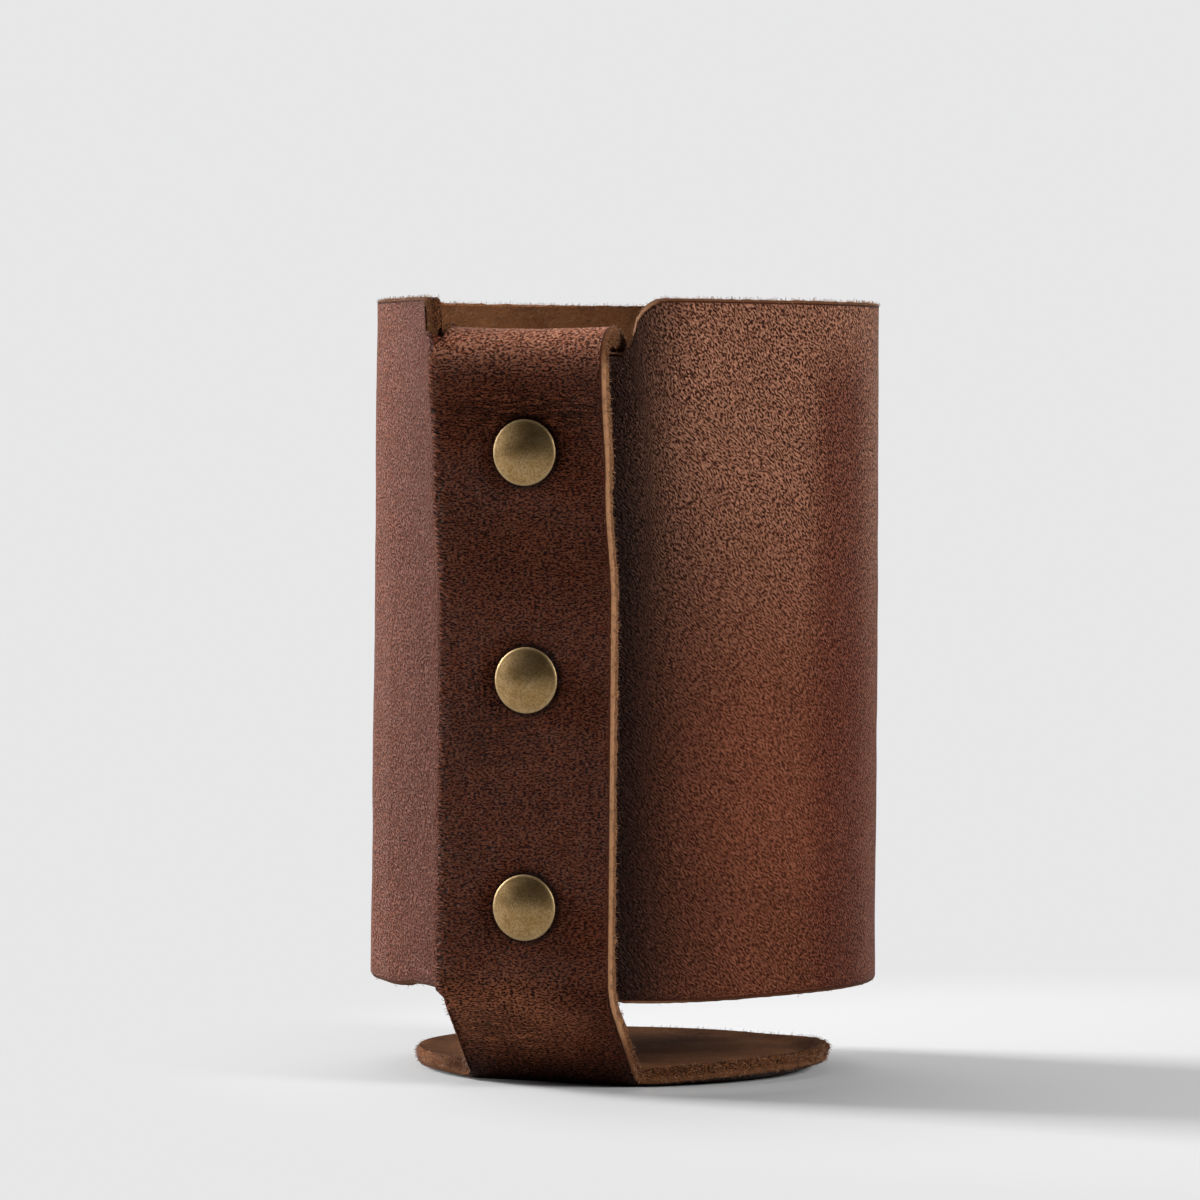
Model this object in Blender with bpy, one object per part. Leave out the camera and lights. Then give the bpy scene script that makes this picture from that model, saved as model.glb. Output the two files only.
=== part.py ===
"""Leather can cooler sleeve: one cut and folded piece of leather, held by three two-part rivets.

The leather is drawn as its middle surface and then thickened. One piece makes the round base, the strap
that rises from it, the front strip with its folded top, and the wrap that starts at the strip's left
crease, runs round the bay and tucks its other end in behind the strip.
Metres, +Z up. The origin is on the floor, on the sleeve's axis, and the front strip faces -Y.
"""

import math

import bmesh
import bpy

# Leather
LEATHER = 0.0023
LAYER_GAP = 0.0003
PIECE_GAP = 0.0003

# Wrap round the bay
BAY_RADIUS_TOP = 0.0330
BAY_RADIUS_BOTTOM = 0.03325
WRAP_BOTTOM = 0.0122
WRAP_HEIGHT = 0.0954
END_SET_BACK = 0.0018
END_TOP_DROP = 0.0080
END_BOTTOM_RISE = 0.0028

# Round base and the strap that rises from it
BASE_RADIUS = 0.0288
STRIP_WIDTH = 0.0247
FLOOR_BEND_RADIUS = 0.0048
SHOULDER_RADIUS = 0.0068
SHOULDER_RISE = 0.0038
STRAP_SLOPE_DEG = 48.0
CORNER_LIFT_REACH = 0.006

# Folded top of the strip
FOLD_EASE = 0.0003
FOLD_SLACK = 0.0020
FOLD_DROP = 0.0042
FOLD_SAG = 0.0004
HEM_MARGIN = 0.0004
BULGE_LENGTH = 0.0155
EDGE_SLACK_LENGTH = 0.0150
CENTRE_SLACK_LENGTH = 0.0085
BULGE_RUNOUT_DEG = 30.0

# Notches on either side of the fold
RIGHT_NOTCH_DEPTH = 0.0066
RIGHT_NOTCH_INSET = 0.0003
RIGHT_NOTCH_HOLLOW = 0.0010
RIGHT_NOTCH_CROWN = 0.0044
LEFT_NOTCH_DEPTH = 0.0052
LEFT_NOTCH_START = 0.0005
LEFT_NOTCH_HOLLOW = 0.0016
LEFT_NOTCH_CROWN = 0.0020
TAB_TRIM = 0.0009

# Rivets
RIVET_CAP_RADIUS = 0.0045
RIVET_CAP_RIM = 0.00025
RIVET_CAP_DOME = 0.00095
RIVET_BACK_RADIUS = 0.0042
RIVET_BACK_RIM = 0.0004
RIVET_BACK_DOME = 0.0005
TUBE_RADIUS = 0.00175
TUBE_WALL = 0.0006
LOWEST_RIVET_RISE = 0.0129
TOP_RIVET_DROP = 0.0126
TOP_RIVET_SHIFT = 0.0005
RIVET_NAMES = ("bottom", "middle", "top")

# Fineness of the meshes
STRIP_COLUMNS = 6
STRAP_STEPS = 7
BASE_SIDE_STEPS = 7
WRAP_STEP_DEG = 7.5
WRAP_ARC_START_DEG = 60.0
NOTCH_CLEAR_DEG = 34.0
HOLLOW_DEG = (0, 42, 76)
CROWN_DEG = (42, 90)
PLAIN_LINE_COLUMNS = 3
TUCKED_STEPS = 5
TUCK_EDGE_DEG = 8.0
PULL_SHARE = 0.2
FLAT_SHARES = (1.0, 0.82, 0.6, 0.35, 0.1, -0.15, -0.4, -0.65)
LAST_FLAT_SHARE = 0.92
ATTACHED_ARCH_DEG = (20, 40)
FREE_ARCH_DEG = (62, 85, 108, 132, 156, 180)
SET_BACK_START_DEG = 60.0
SHARP_DEG = 40.0
TURNED_SEGMENTS = 32
STEM_SEGMENTS = 20

# Places that follow from the sizes above
HALF_LEATHER = LEATHER / 2
HALF_STRIP = STRIP_WIDTH / 2
WRAP_TOP = WRAP_BOTTOM + WRAP_HEIGHT
WRAP_OUTSIDE = BAY_RADIUS_TOP + LEATHER
LAYER_STEP = LEATHER + LAYER_GAP
SHOULDER_TOP = WRAP_BOTTOM + SHOULDER_RISE
FOLD_RADIUS = LAYER_STEP + FOLD_EASE
FOLD_CENTRE = WRAP_TOP - FOLD_DROP - HALF_LEATHER - FOLD_RADIUS
TOP_RIVET = FOLD_CENTRE - TOP_RIVET_DROP
LOWEST_RIVET = WRAP_BOTTOM + LOWEST_RIVET_RISE
RIVET_PITCH = (TOP_RIVET - LOWEST_RIVET) / 2
HEM_END = TOP_RIVET - RIVET_BACK_RADIUS - PIECE_GAP - HEM_MARGIN
SET_BACK_START = math.radians(SET_BACK_START_DEG)
SLOPE = math.radians(STRAP_SLOPE_DEG)
END_TOP = WRAP_TOP - END_TOP_DROP
END_OVERLAP_DEG = math.degrees(math.asin((HALF_STRIP - END_SET_BACK) / WRAP_OUTSIDE))
RIGHT_NOTCH_START = HALF_STRIP - RIGHT_NOTCH_INSET
BASE_CORNER = math.sqrt(BASE_RADIUS**2 - HALF_STRIP**2)


def smooth(t):
    """Zero up to t = 0, one from t = 1, with an easy rise between."""
    t = min(max(t, 0.0), 1.0)
    return t * t * (3 - 2 * t)


def mix(a, b, t):
    return a + (b - a) * t


def steps(a, b, count):
    """The values after a, up to b, in equal steps."""
    return [mix(a, b, k / count) for k in range(1, count + 1)]


def bay_radius(z):
    share = (z - WRAP_BOTTOM) / WRAP_HEIGHT
    return mix(BAY_RADIUS_BOTTOM, BAY_RADIUS_TOP, min(max(share, 0.0), 1.0))


def fold_middle():
    """Distance from the axis to the middle of the fold's loop."""
    layers = bay_radius(FOLD_CENTRE) + 2 * LAYER_STEP + HALF_LEATHER
    return layers + FOLD_SLACK - FOLD_RADIUS


def over_hem(z):
    """How far the hem pushes out what lies in front of it."""
    return LAYER_STEP * smooth((z - HEM_END + BULGE_LENGTH) / BULGE_LENGTH)


def towards_fold(z, length=CENTRE_SLACK_LENGTH):
    """Share of the way out to the fold's loop, which the layers open to over the last stretch."""
    return smooth((z - FOLD_CENTRE + length) / length)


def end_bulge(z):
    """How far the tucked end of the wrap stands out from the bay's round, over the hem behind it."""
    in_loop = fold_middle() - bay_radius(FOLD_CENTRE) - HALF_LEATHER - LAYER_STEP
    return over_hem(z) + in_loop * towards_fold(z)


def strip_distance(x, z):
    """Distance of the strip's middle surface in front of the axis, over the layers behind it."""
    layers = bay_radius(z) + LAYER_STEP + HALF_LEATHER + over_hem(z)
    length = mix(CENTRE_SLACK_LENGTH, EDGE_SLACK_LENGTH, (x / HALF_STRIP) ** 2)
    return layers + FOLD_SLACK * towards_fold(z, length)


def hem_set_back(x, radius):
    """How far the hem curves back beside its middle, as it lies round the bay."""
    return radius - math.sqrt(radius**2 - x**2)


def strap_run():
    """The flat joint's distance from the axis and the length of the sloping stretch."""
    rise = SHOULDER_TOP - HALF_LEATHER - FLOOR_BEND_RADIUS * (1 - math.cos(SLOPE))
    slope_length = (rise - SHOULDER_RADIUS * math.cos(SLOPE)) / math.sin(SLOPE)
    joint = strip_distance(0.0, SHOULDER_TOP) - SHOULDER_RADIUS * (1 - math.sin(SLOPE))
    joint -= slope_length * math.cos(SLOPE) + FLOOR_BEND_RADIUS * math.sin(SLOPE)
    return joint, slope_length


def strap_profile(length):
    """Distance from the axis and height, a length along the strap from the flat joint."""
    joint, slope_length = strap_run()
    bend_length = FLOOR_BEND_RADIUS * SLOPE
    angle = min(max(length, 0.0), bend_length) / FLOOR_BEND_RADIUS
    out = joint + min(length, 0.0) + FLOOR_BEND_RADIUS * math.sin(angle)
    up = HALF_LEATHER + FLOOR_BEND_RADIUS * (1 - math.cos(angle))
    along = min(max(length - bend_length, 0.0), slope_length)
    out += along * math.cos(SLOPE)
    up += along * math.sin(SLOPE)
    turned = max(length - bend_length - slope_length, 0.0) / SHOULDER_RADIUS
    out += SHOULDER_RADIUS * (math.sin(SLOPE + turned) - math.sin(SLOPE))
    up += SHOULDER_RADIUS * (math.cos(SLOPE) - math.cos(SLOPE + turned))
    return out, up


def strap_length_at(z):
    """The length along the strap at which its slope or shoulder reaches a height."""
    _, slope_length = strap_run()
    slope_end = FLOOR_BEND_RADIUS * SLOPE + slope_length
    below = (SHOULDER_TOP - z) / SHOULDER_RADIUS
    if below > math.cos(SLOPE):
        return slope_end - SHOULDER_RADIUS * (below - math.cos(SLOPE)) / math.sin(SLOPE)
    return slope_end + SHOULDER_RADIUS * (math.acos(below) - SLOPE)


def notch_outline(start, hollow, crown, depth):
    """Points of a notch from its floor to the top edge: a round hollow, then a rounded crown."""
    points = []
    for degrees in HOLLOW_DEG:
        a = math.radians(degrees)
        points.append((start + hollow * math.sin(a), hollow * (1 - math.cos(a))))
    for degrees in CROWN_DEG:
        a = math.radians(degrees)
        across = start + hollow + crown * (1 - math.cos(a))
        points.append((across, hollow + (depth - hollow) * math.sin(a)))
    return points


class Sheet:
    """The leather's middle surface, as a mesh of shared points."""

    def __init__(self):
        self.mesh = bmesh.new()

    def point(self, x, distance, z):
        return self.mesh.verts.new((x, -distance, z))

    def join(self, first, second):
        """Faces between two rows of points of equal count, which may share their ends."""
        for k in range(len(first) - 1):
            corners = []
            for vert in (first[k], first[k + 1], second[k + 1], second[k]):
                if vert not in corners:
                    corners.append(vert)
            if len(corners) > 2:
                self.mesh.faces.new(corners)


def base_rows():
    """Shares of the base's half depth, back to front, ending where the base's edge meets the strap."""
    joint, _ = strap_run()
    bend_start = min(joint / BASE_CORNER, LAST_FLAT_SHARE)
    return list(FLAT_SHARES) + [-bend_start, -(1 + bend_start) / 2, -1.0]


def base_point(x, share):
    """Middle surface of the round base, lifted near the strap where the strap starts to rise."""
    joint, _ = strap_run()
    inside = abs(x) <= HALF_STRIP and share < 0
    half = BASE_CORNER if inside else math.sqrt(max(BASE_RADIUS**2 - x**2, 0.0))
    flat = -share * half
    length = -share * BASE_CORNER - joint
    if length <= 0:
        return flat, HALF_LEATHER
    bent, lifted = strap_profile(length)
    side = 1 - smooth((abs(x) - HALF_STRIP) / CORNER_LIFT_REACH)
    return flat + (bent + share * BASE_CORNER) * side, mix(HALF_LEATHER, lifted, side)


def strip_columns():
    return [-HALF_STRIP] + steps(-HALF_STRIP, HALF_STRIP, STRIP_COLUMNS)


def add_base(sheet):
    """The round base. Returns its last row, where the strap goes on."""
    columns = strip_columns()
    rows = []
    for share in base_rows():
        row = []
        for x in columns:
            distance, z = base_point(x, share)
            row.append(sheet.point(x, distance, z))
        rows.append(row)
    for first, second in zip(rows, rows[1:]):
        sheet.join(first, second)
    edge_angle = math.asin(HALF_STRIP / BASE_RADIUS)
    for side in (-1, 1):
        inner = [row[0 if side < 0 else -1] for row in rows]
        for angle in steps(edge_angle, math.pi / 2, BASE_SIDE_STEPS):
            x = side * BASE_RADIUS * math.sin(angle)
            if angle > math.pi / 2 - 1e-6:
                outer = [sheet.point(x, 0.0, HALF_LEATHER)] * len(rows)
            else:
                outer = []
                for share in base_rows():
                    distance, z = base_point(x, share)
                    outer.append(sheet.point(x, distance, z))
            pair = (inner, outer) if side > 0 else (outer, inner)
            sheet.join(*pair)
            inner = outer
    return rows[-1]


def strap_rows():
    """Lengths along the strap above the base's edge, up to the wrap's lower edge."""
    joint, _ = strap_run()
    return steps(BASE_CORNER - joint, strap_length_at(WRAP_BOTTOM), STRAP_STEPS)


def attached_rows():
    """The rows that the strip shares with the wrap, as functions of x that give distance and height."""
    rows = []
    start = strap_length_at(WRAP_BOTTOM)
    for length in [start] + steps(start, strap_length_at(SHOULDER_TOP), 3):
        rows.append(lambda x, length=length: strap_profile(length))
    bulge_start = HEM_END - BULGE_LENGTH
    heights = steps(SHOULDER_TOP, bulge_start, 4)
    heights += steps(bulge_start, HEM_END, 5)
    heights += steps(HEM_END, FOLD_CENTRE, 6)
    for z in heights:
        rows.append(lambda x, z=z: (strip_distance(x, z), z))
    for degrees in ATTACHED_ARCH_DEG:
        rows.append(lambda x, a=math.radians(degrees): arch_point(x, a))
    return rows


def arch_point(x, angle):
    """The fold's loop, from the strip over the top and down into the hem."""
    across = (x / HALF_STRIP) ** 2
    radius = fold_middle() - FOLD_RADIUS
    back = hem_set_back(x, radius) * smooth((angle - SET_BACK_START) / (math.pi / 2))
    distance = fold_middle() + FOLD_RADIUS * math.cos(angle) - back
    lift = FOLD_SAG * across * math.sin(angle)
    return distance, FOLD_CENTRE + FOLD_RADIUS * math.sin(angle) + lift


def hem_point(x, z):
    """The hem lies round the bay, and leans out to the fold's loop near its top."""
    radius = bay_radius(z) + HALF_LEATHER
    radius += (fold_middle() - FOLD_RADIUS - radius) * towards_fold(z)
    return radius - hem_set_back(x, radius), z


def add_strip(sheet, row):
    """Strap, front strip, fold and hem. Returns the crease's points, bottom to top."""
    columns = strip_columns()
    places = [lambda x, n=n: strap_profile(n) for n in strap_rows()[:-1]]
    free_below = len(places)
    attached = attached_rows()
    places += attached
    for degrees in FREE_ARCH_DEG:
        places.append(lambda x, a=math.radians(degrees): arch_point(x, a))
    for z in steps(FOLD_CENTRE, HEM_END, 3):
        places.append(lambda x, z=z: hem_point(x, z))
    crease = []
    for index, place in enumerate(places):
        if index >= free_below + len(attached):
            columns[0] = TAB_TRIM - HALF_STRIP
        above = [sheet.point(x, *place(x)) for x in columns]
        sheet.join(row, above)
        row = above
        if free_below <= index < free_below + len(attached):
            crease.append(above[0])
    return crease


def wrap_columns():
    """Columns of the wrap: where each stands below, where at the top edge, and the edge's heights."""
    depth = LEFT_NOTCH_DEPTH
    outline = notch_outline(LEFT_NOTCH_START, LEFT_NOTCH_HOLLOW, LEFT_NOTCH_CROWN, depth)[1:]
    columns = []
    line_count = len(outline) + PLAIN_LINE_COLUMNS
    for k, (across, up) in enumerate(outline):
        columns.append(("line", (k + 1) / line_count, across, WRAP_TOP - depth + up, WRAP_BOTTOM))
    for k in reversed(range(PLAIN_LINE_COLUMNS)):
        columns.append(("line", 1 - k / line_count, None, WRAP_TOP, WRAP_BOTTOM))
    stretch = 360 - NOTCH_CLEAR_DEG - WRAP_ARC_START_DEG
    count = round(stretch / WRAP_STEP_DEG)
    for degrees in [WRAP_ARC_START_DEG] + steps(WRAP_ARC_START_DEG, 360 - NOTCH_CLEAR_DEG, count):
        columns.append(("arc", degrees, degrees, WRAP_TOP, WRAP_BOTTOM))
    depth = RIGHT_NOTCH_DEPTH
    outline = notch_outline(RIGHT_NOTCH_START, RIGHT_NOTCH_HOLLOW, RIGHT_NOTCH_CROWN, depth)
    hidden = math.degrees(math.asin(HALF_STRIP / WRAP_OUTSIDE))
    tucked = hidden - TUCK_EDGE_DEG
    even = steps(NOTCH_CLEAR_DEG, tucked, len(outline) + 1)[:-1]
    for (across, up), below in zip(reversed(outline), even):
        top = min(WRAP_TOP - depth + up, WRAP_TOP) if across > HALF_STRIP else END_TOP
        at_top = math.degrees(across / WRAP_OUTSIDE)
        columns.append(("arc", 360 - below, 360 - at_top, top, lower_edge(below, hidden)))
    for degrees in [tucked] + steps(tucked, -END_OVERLAP_DEG, TUCKED_STEPS):
        columns.append(("arc", 360 - degrees, 360 - degrees, END_TOP, lower_edge(degrees, hidden)))
    return columns


def lower_edge(degrees, hidden):
    """Lower edge of the wrap, cut higher where the strap bends in over the tucked end."""
    return WRAP_BOTTOM + END_BOTTOM_RISE * smooth((hidden - degrees) / TUCK_EDGE_DEG)


def tangent_angle(distance, z):
    """Where a line from the crease meets the wrap's round, and the line's length."""
    radius = bay_radius(z) + HALF_LEATHER
    reach = math.hypot(HALF_STRIP, distance)
    angle = math.atan2(HALF_STRIP, distance) + math.acos(radius / reach)
    return angle, math.sqrt(reach**2 - radius**2)


def wrap_point(column, distance, share):
    """Middle surface of the wrap on one column, at a share of the height from bottom to top edge."""
    kind, below, at_top, top, bottom = column
    z = mix(bottom, top, share)
    pull = smooth((share - 1 + PULL_SHARE) / PULL_SHARE)
    radius = bay_radius(z) + HALF_LEATHER
    if kind == "line":
        if z > FOLD_CENTRE:
            distance = strip_distance(HALF_STRIP, FOLD_CENTRE)
        angle, length = tangent_angle(distance, z)
        along = below * length
        if at_top is not None:
            along = mix(along, at_top, pull)
        x = mix(-HALF_STRIP, -radius * math.sin(angle), along / length)
        return x, mix(distance, radius * math.cos(angle), along / length), z
    degrees = mix(below, at_top, pull)
    hidden = math.degrees(math.asin(HALF_STRIP / radius))
    runout = smooth((360 - degrees - hidden) / BULGE_RUNOUT_DEG)
    radius += end_bulge(z) * (1 - runout)
    theta = math.radians(degrees)
    return -radius * math.sin(theta), radius * math.cos(theta), z


def add_wrap(sheet, crease):
    low = crease[0].co.z
    high = crease[-1].co.z
    columns = wrap_columns()
    rows = []
    for vert in crease:
        share = (vert.co.z - low) / (high - low)
        row = [vert]
        for column in columns:
            row.append(sheet.point(*wrap_point(column, -vert.co.y, share)))
        rows.append(row)
    for first, second in zip(rows, rows[1:]):
        sheet.join(second, first)


def material(name, colour, roughness, metallic):
    made = bpy.data.materials.new(name)
    made.use_nodes = True
    shader = made.node_tree.nodes["Principled BSDF"]
    shader.inputs["Base Color"].default_value = (*colour, 1.0)
    shader.inputs["Roughness"].default_value = roughness
    shader.inputs["Metallic"].default_value = metallic
    return made


def add_object(name, mesh, made_of=None):
    obj = bpy.data.objects.new(name, mesh)
    bpy.context.scene.collection.objects.link(obj)
    if made_of:
        mesh.materials.append(made_of)
    return obj


def leather_sleeve(made_of):
    sheet = Sheet()
    row = add_base(sheet)
    crease = add_strip(sheet, row)
    add_wrap(sheet, crease)
    bmesh.ops.recalc_face_normals(sheet.mesh, faces=sheet.mesh.faces)
    mesh = bpy.data.meshes.new("leather_sleeve")
    sheet.mesh.to_mesh(mesh)
    sheet.mesh.free()
    mesh.shade_smooth()
    mesh.set_sharp_from_angle(angle=math.radians(SHARP_DEG))
    sleeve = add_object("leather_sleeve", mesh, made_of)
    thicken = sleeve.modifiers.new("thickness", "SOLIDIFY")
    thicken.thickness = LEATHER
    thicken.offset = 0.0
    thicken.use_quality_normals = True
    return sleeve


def turned_mesh(name, profile, segments):
    """A closed profile of (radius, height), from the axis out and back to it, turned about Z."""
    mesh = bmesh.new()
    verts = [mesh.verts.new((radius, 0.0, height)) for radius, height in profile]
    edges = [mesh.edges.new(pair) for pair in zip(verts, verts[1:])]
    if profile[0][0] > 0:
        edges.append(mesh.edges.new((verts[-1], verts[0])))
    bmesh.ops.spin(
        mesh,
        geom=verts + edges,
        cent=(0, 0, 0),
        axis=(0, 0, 1),
        angle=2 * math.pi,
        steps=segments,
        use_merge=True,
    )
    bmesh.ops.remove_doubles(mesh, verts=mesh.verts, dist=1e-6)
    bmesh.ops.recalc_face_normals(mesh, faces=mesh.faces)
    made = bpy.data.meshes.new(name)
    mesh.to_mesh(made)
    mesh.free()
    made.shade_smooth()
    made.set_sharp_from_angle(angle=math.radians(SHARP_DEG))
    return made


def dome(radius, rise, rim, count=5):
    """Points of a shallow dome from its top to its rim, above height zero."""
    ball = (radius**2 + rise**2) / (2 * rise)
    points = []
    for k in range(count):
        across = radius * k / (count - 1)
        points.append((across, rim + rise - ball + math.sqrt(ball**2 - across**2)))
    return points


def rivet_depths(z):
    """Distances from the axis: the strip's face, and the bay's wall behind it."""
    return strip_distance(0.0, z) + HALF_LEATHER, bay_radius(z)


def rivet_cap_profile(z):
    """The outer half: a low dome with a pin that goes into the post's tube."""
    face, wall = rivet_depths(z)
    pin = TUBE_RADIUS - TUBE_WALL - PIECE_GAP
    depth = face + PIECE_GAP - wall - back_height() - PIECE_GAP
    profile = dome(RIVET_CAP_RADIUS, RIVET_CAP_DOME, RIVET_CAP_RIM)
    return profile + [(RIVET_CAP_RADIUS, 0.0), (pin, 0.0), (pin, -depth), (0.0, -depth)]


def back_height():
    return RIVET_BACK_RIM + RIVET_BACK_DOME


def rivet_post_profile(z):
    """The inner half: a back cap whose tube comes up through the layers to the outer cap."""
    face, wall = rivet_depths(z)
    top = face - wall
    bore = TUBE_RADIUS - TUBE_WALL
    back = dome(RIVET_BACK_RADIUS, RIVET_BACK_DOME, RIVET_BACK_RIM)
    under = [(radius, back_height() - height) for radius, height in back]
    seat = back_height()
    outside = [(RIVET_BACK_RADIUS, seat), (TUBE_RADIUS, seat), (TUBE_RADIUS, top)]
    return under + outside + [(bore, top), (bore, seat), (0.0, seat)]


def rivet_cut_profile(z):
    """The hole through the layers, with the hollow that the back cap has pressed into the leather."""
    face, wall = rivet_depths(z)
    hole = TUBE_RADIUS + PIECE_GAP
    hollow = RIVET_BACK_RADIUS + PIECE_GAP
    seat = back_height() + PIECE_GAP
    beyond = LEATHER
    far = face - wall + beyond
    return [(0.0, -beyond), (hollow, -beyond), (hollow, seat), (hole, seat), (hole, far), (0.0, far)]


def place_rivet(obj, x, distance, z):
    """Turns a piece so that its own +Z points out of the strip."""
    obj.location = (x, -distance, z)
    obj.rotation_euler = (math.pi / 2, 0.0, 0.0)


def add_rivet(name, x, z, brass, sleeve):
    face, wall = rivet_depths(z)
    cap = turned_mesh("rivet_cap_" + name, rivet_cap_profile(z), TURNED_SEGMENTS)
    place_rivet(add_object("rivet_cap_" + name, cap, brass), x, face + PIECE_GAP, z)
    post = turned_mesh("rivet_post_" + name, rivet_post_profile(z), TURNED_SEGMENTS)
    place_rivet(add_object("rivet_post_" + name, post, brass), x, wall, z)
    cutter = add_object("rivet_hole_" + name, turned_mesh("hole", rivet_cut_profile(z), STEM_SEGMENTS))
    place_rivet(cutter, x, wall, z)
    cutter.hide_render = True
    cutter.display_type = "WIRE"
    hole = sleeve.modifiers.new("hole_" + name, "BOOLEAN")
    hole.operation = "DIFFERENCE"
    hole.solver = "EXACT"
    hole.object = cutter


def main():
    for obj in list(bpy.data.objects):
        bpy.data.objects.remove(obj)
    leather = material("brown_leather", (0.13, 0.055, 0.03), 0.5, 0.0)
    brass = material("antique_brass", (0.30, 0.24, 0.13), 0.4, 1.0)
    sleeve = leather_sleeve(leather)
    for index, name in enumerate(RIVET_NAMES):
        shift = TOP_RIVET_SHIFT if name == "top" else 0.0
        add_rivet(name, shift, LOWEST_RIVET + index * RIVET_PITCH, brass, sleeve)


main()
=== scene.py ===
# %% [markdown]
# # A leather can cooler sleeve
# The real object is one cut piece of thick brown leather. It is bent up from a round base, folded over at the
# top of its front strip, wrapped once round and closed with three brass rivets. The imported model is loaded
# first as a fixed frame, because every size and place below has to agree with it.

# %% Load the frame
import math

import bmesh
import bpy
from mathutils import Matrix, Vector, noise


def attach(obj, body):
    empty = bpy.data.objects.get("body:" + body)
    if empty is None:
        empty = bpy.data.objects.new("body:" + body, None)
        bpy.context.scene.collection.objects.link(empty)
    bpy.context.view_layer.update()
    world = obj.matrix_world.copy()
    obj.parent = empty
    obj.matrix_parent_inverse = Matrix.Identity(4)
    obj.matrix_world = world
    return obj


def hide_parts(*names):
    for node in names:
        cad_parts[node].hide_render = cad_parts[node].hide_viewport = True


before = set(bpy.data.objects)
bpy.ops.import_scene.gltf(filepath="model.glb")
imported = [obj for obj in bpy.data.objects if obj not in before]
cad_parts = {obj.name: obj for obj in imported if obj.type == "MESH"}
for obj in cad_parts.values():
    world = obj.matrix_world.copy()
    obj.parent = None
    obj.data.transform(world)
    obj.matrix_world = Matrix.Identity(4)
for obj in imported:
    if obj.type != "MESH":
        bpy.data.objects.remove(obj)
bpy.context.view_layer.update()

MM = 0.001
print("nodes:", sorted(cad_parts))

# %% [markdown]
# ## The camera
# A long lens a little under a metre away keeps upright lines upright, as the photograph has them. The eye is
# lower than the top edge, so the camera tips down by less than two degrees. Building the turn from three
# plain rotations is easier to read than one set of Euler angles.

# %% Camera
CAMERA_DISTANCE = 890 * MM
CAMERA_HEIGHT = 93.5 * MM
CAMERA_AZIMUTH = math.radians(20.5)
CAMERA_PAN = math.radians(0.236)
CAMERA_TILT = math.radians(1.786)
CAMERA_ROLL = math.radians(0.46)
SENSOR = 36.0
PHOTO_WIDTH = 1200
FOCAL_PIXELS = 6319

camera_data = bpy.data.cameras.new("camera")
camera_data.sensor_width = SENSOR
camera_data.lens = SENSOR * FOCAL_PIXELS / PHOTO_WIDTH
camera_data.clip_start = 0.01
camera = bpy.data.objects.new("camera", camera_data)
bpy.context.scene.collection.objects.link(camera)
eye = Vector((math.sin(CAMERA_AZIMUTH), -math.cos(CAMERA_AZIMUTH), 0)) * CAMERA_DISTANCE
eye.z = CAMERA_HEIGHT
turn = Matrix.Rotation(CAMERA_AZIMUTH + CAMERA_PAN, 4, "Z")
tip = Matrix.Rotation(math.pi / 2 - CAMERA_TILT, 4, "X")
roll = Matrix.Rotation(CAMERA_ROLL, 4, "Z")
camera.matrix_world = Matrix.Translation(eye) @ turn @ tip @ roll
bpy.context.scene.camera = camera
print(f"camera at {eye.length:.3f} m with a {camera_data.lens:.0f} mm lens")

# %% [markdown]
# ## Sizes
# These are the same sizes as in the part's own source, in metres. The leather is described by its middle
# surface, as a pattern cutter would, and gets its thickness afterwards.

# %% Sizes of the leather
LEATHER = 2.3 * MM
LAYER_GAP = 0.3 * MM
BAY_RADIUS_TOP = 33.0 * MM
BAY_RADIUS_BOTTOM = 33.25 * MM
WRAP_BOTTOM = 12.2 * MM
WRAP_HEIGHT = 95.4 * MM
END_SET_BACK = 1.8 * MM
END_TOP_DROP = 8.0 * MM
END_BOTTOM_RISE = 2.8 * MM
BASE_RADIUS = 28.8 * MM
STRIP_WIDTH = 24.7 * MM
FLOOR_BEND_RADIUS = 4.8 * MM
SHOULDER_RADIUS = 6.8 * MM
SHOULDER_RISE = 3.8 * MM
SLOPE = math.radians(48)
CORNER_LIFT_REACH = 6 * MM

# %% Sizes of the fold and its notches
FOLD_EASE = 0.3 * MM
FOLD_SLACK = 2.0 * MM
FOLD_DROP = 4.2 * MM
FOLD_SAG = 0.4 * MM
BULGE_LENGTH = 15.5 * MM
EDGE_SLACK_LENGTH = 15.0 * MM
CENTRE_SLACK_LENGTH = 8.5 * MM
BULGE_RUNOUT_DEG = 30.0
RIGHT_NOTCH = {"depth": 6.6 * MM, "hollow": 1.0 * MM, "crown": 4.4 * MM}
LEFT_NOTCH = {"depth": 4.6 * MM, "hollow": 0.7 * MM, "crown": 1.5 * MM}
RIGHT_NOTCH_INSET = 0.3 * MM
LEFT_NOTCH_START = 0.3 * MM
TAB_TRIM = 0.9 * MM

# %% Sizes of the rivets
CAP_RADIUS = 4.5 * MM
CAP_RIM = 0.25 * MM
CAP_DOME = 0.95 * MM
BACK_RADIUS = 4.2 * MM
BACK_DOME = 0.5 * MM
BACK_RIM = 0.4 * MM
PIECE_GAP = 0.3 * MM
HEM_MARGIN = 0.4 * MM
LOWEST_RIVET_RISE = 12.9 * MM
TOP_RIVET_DROP = 12.6 * MM
TOP_RIVET_SHIFT = 0.5 * MM

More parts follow.
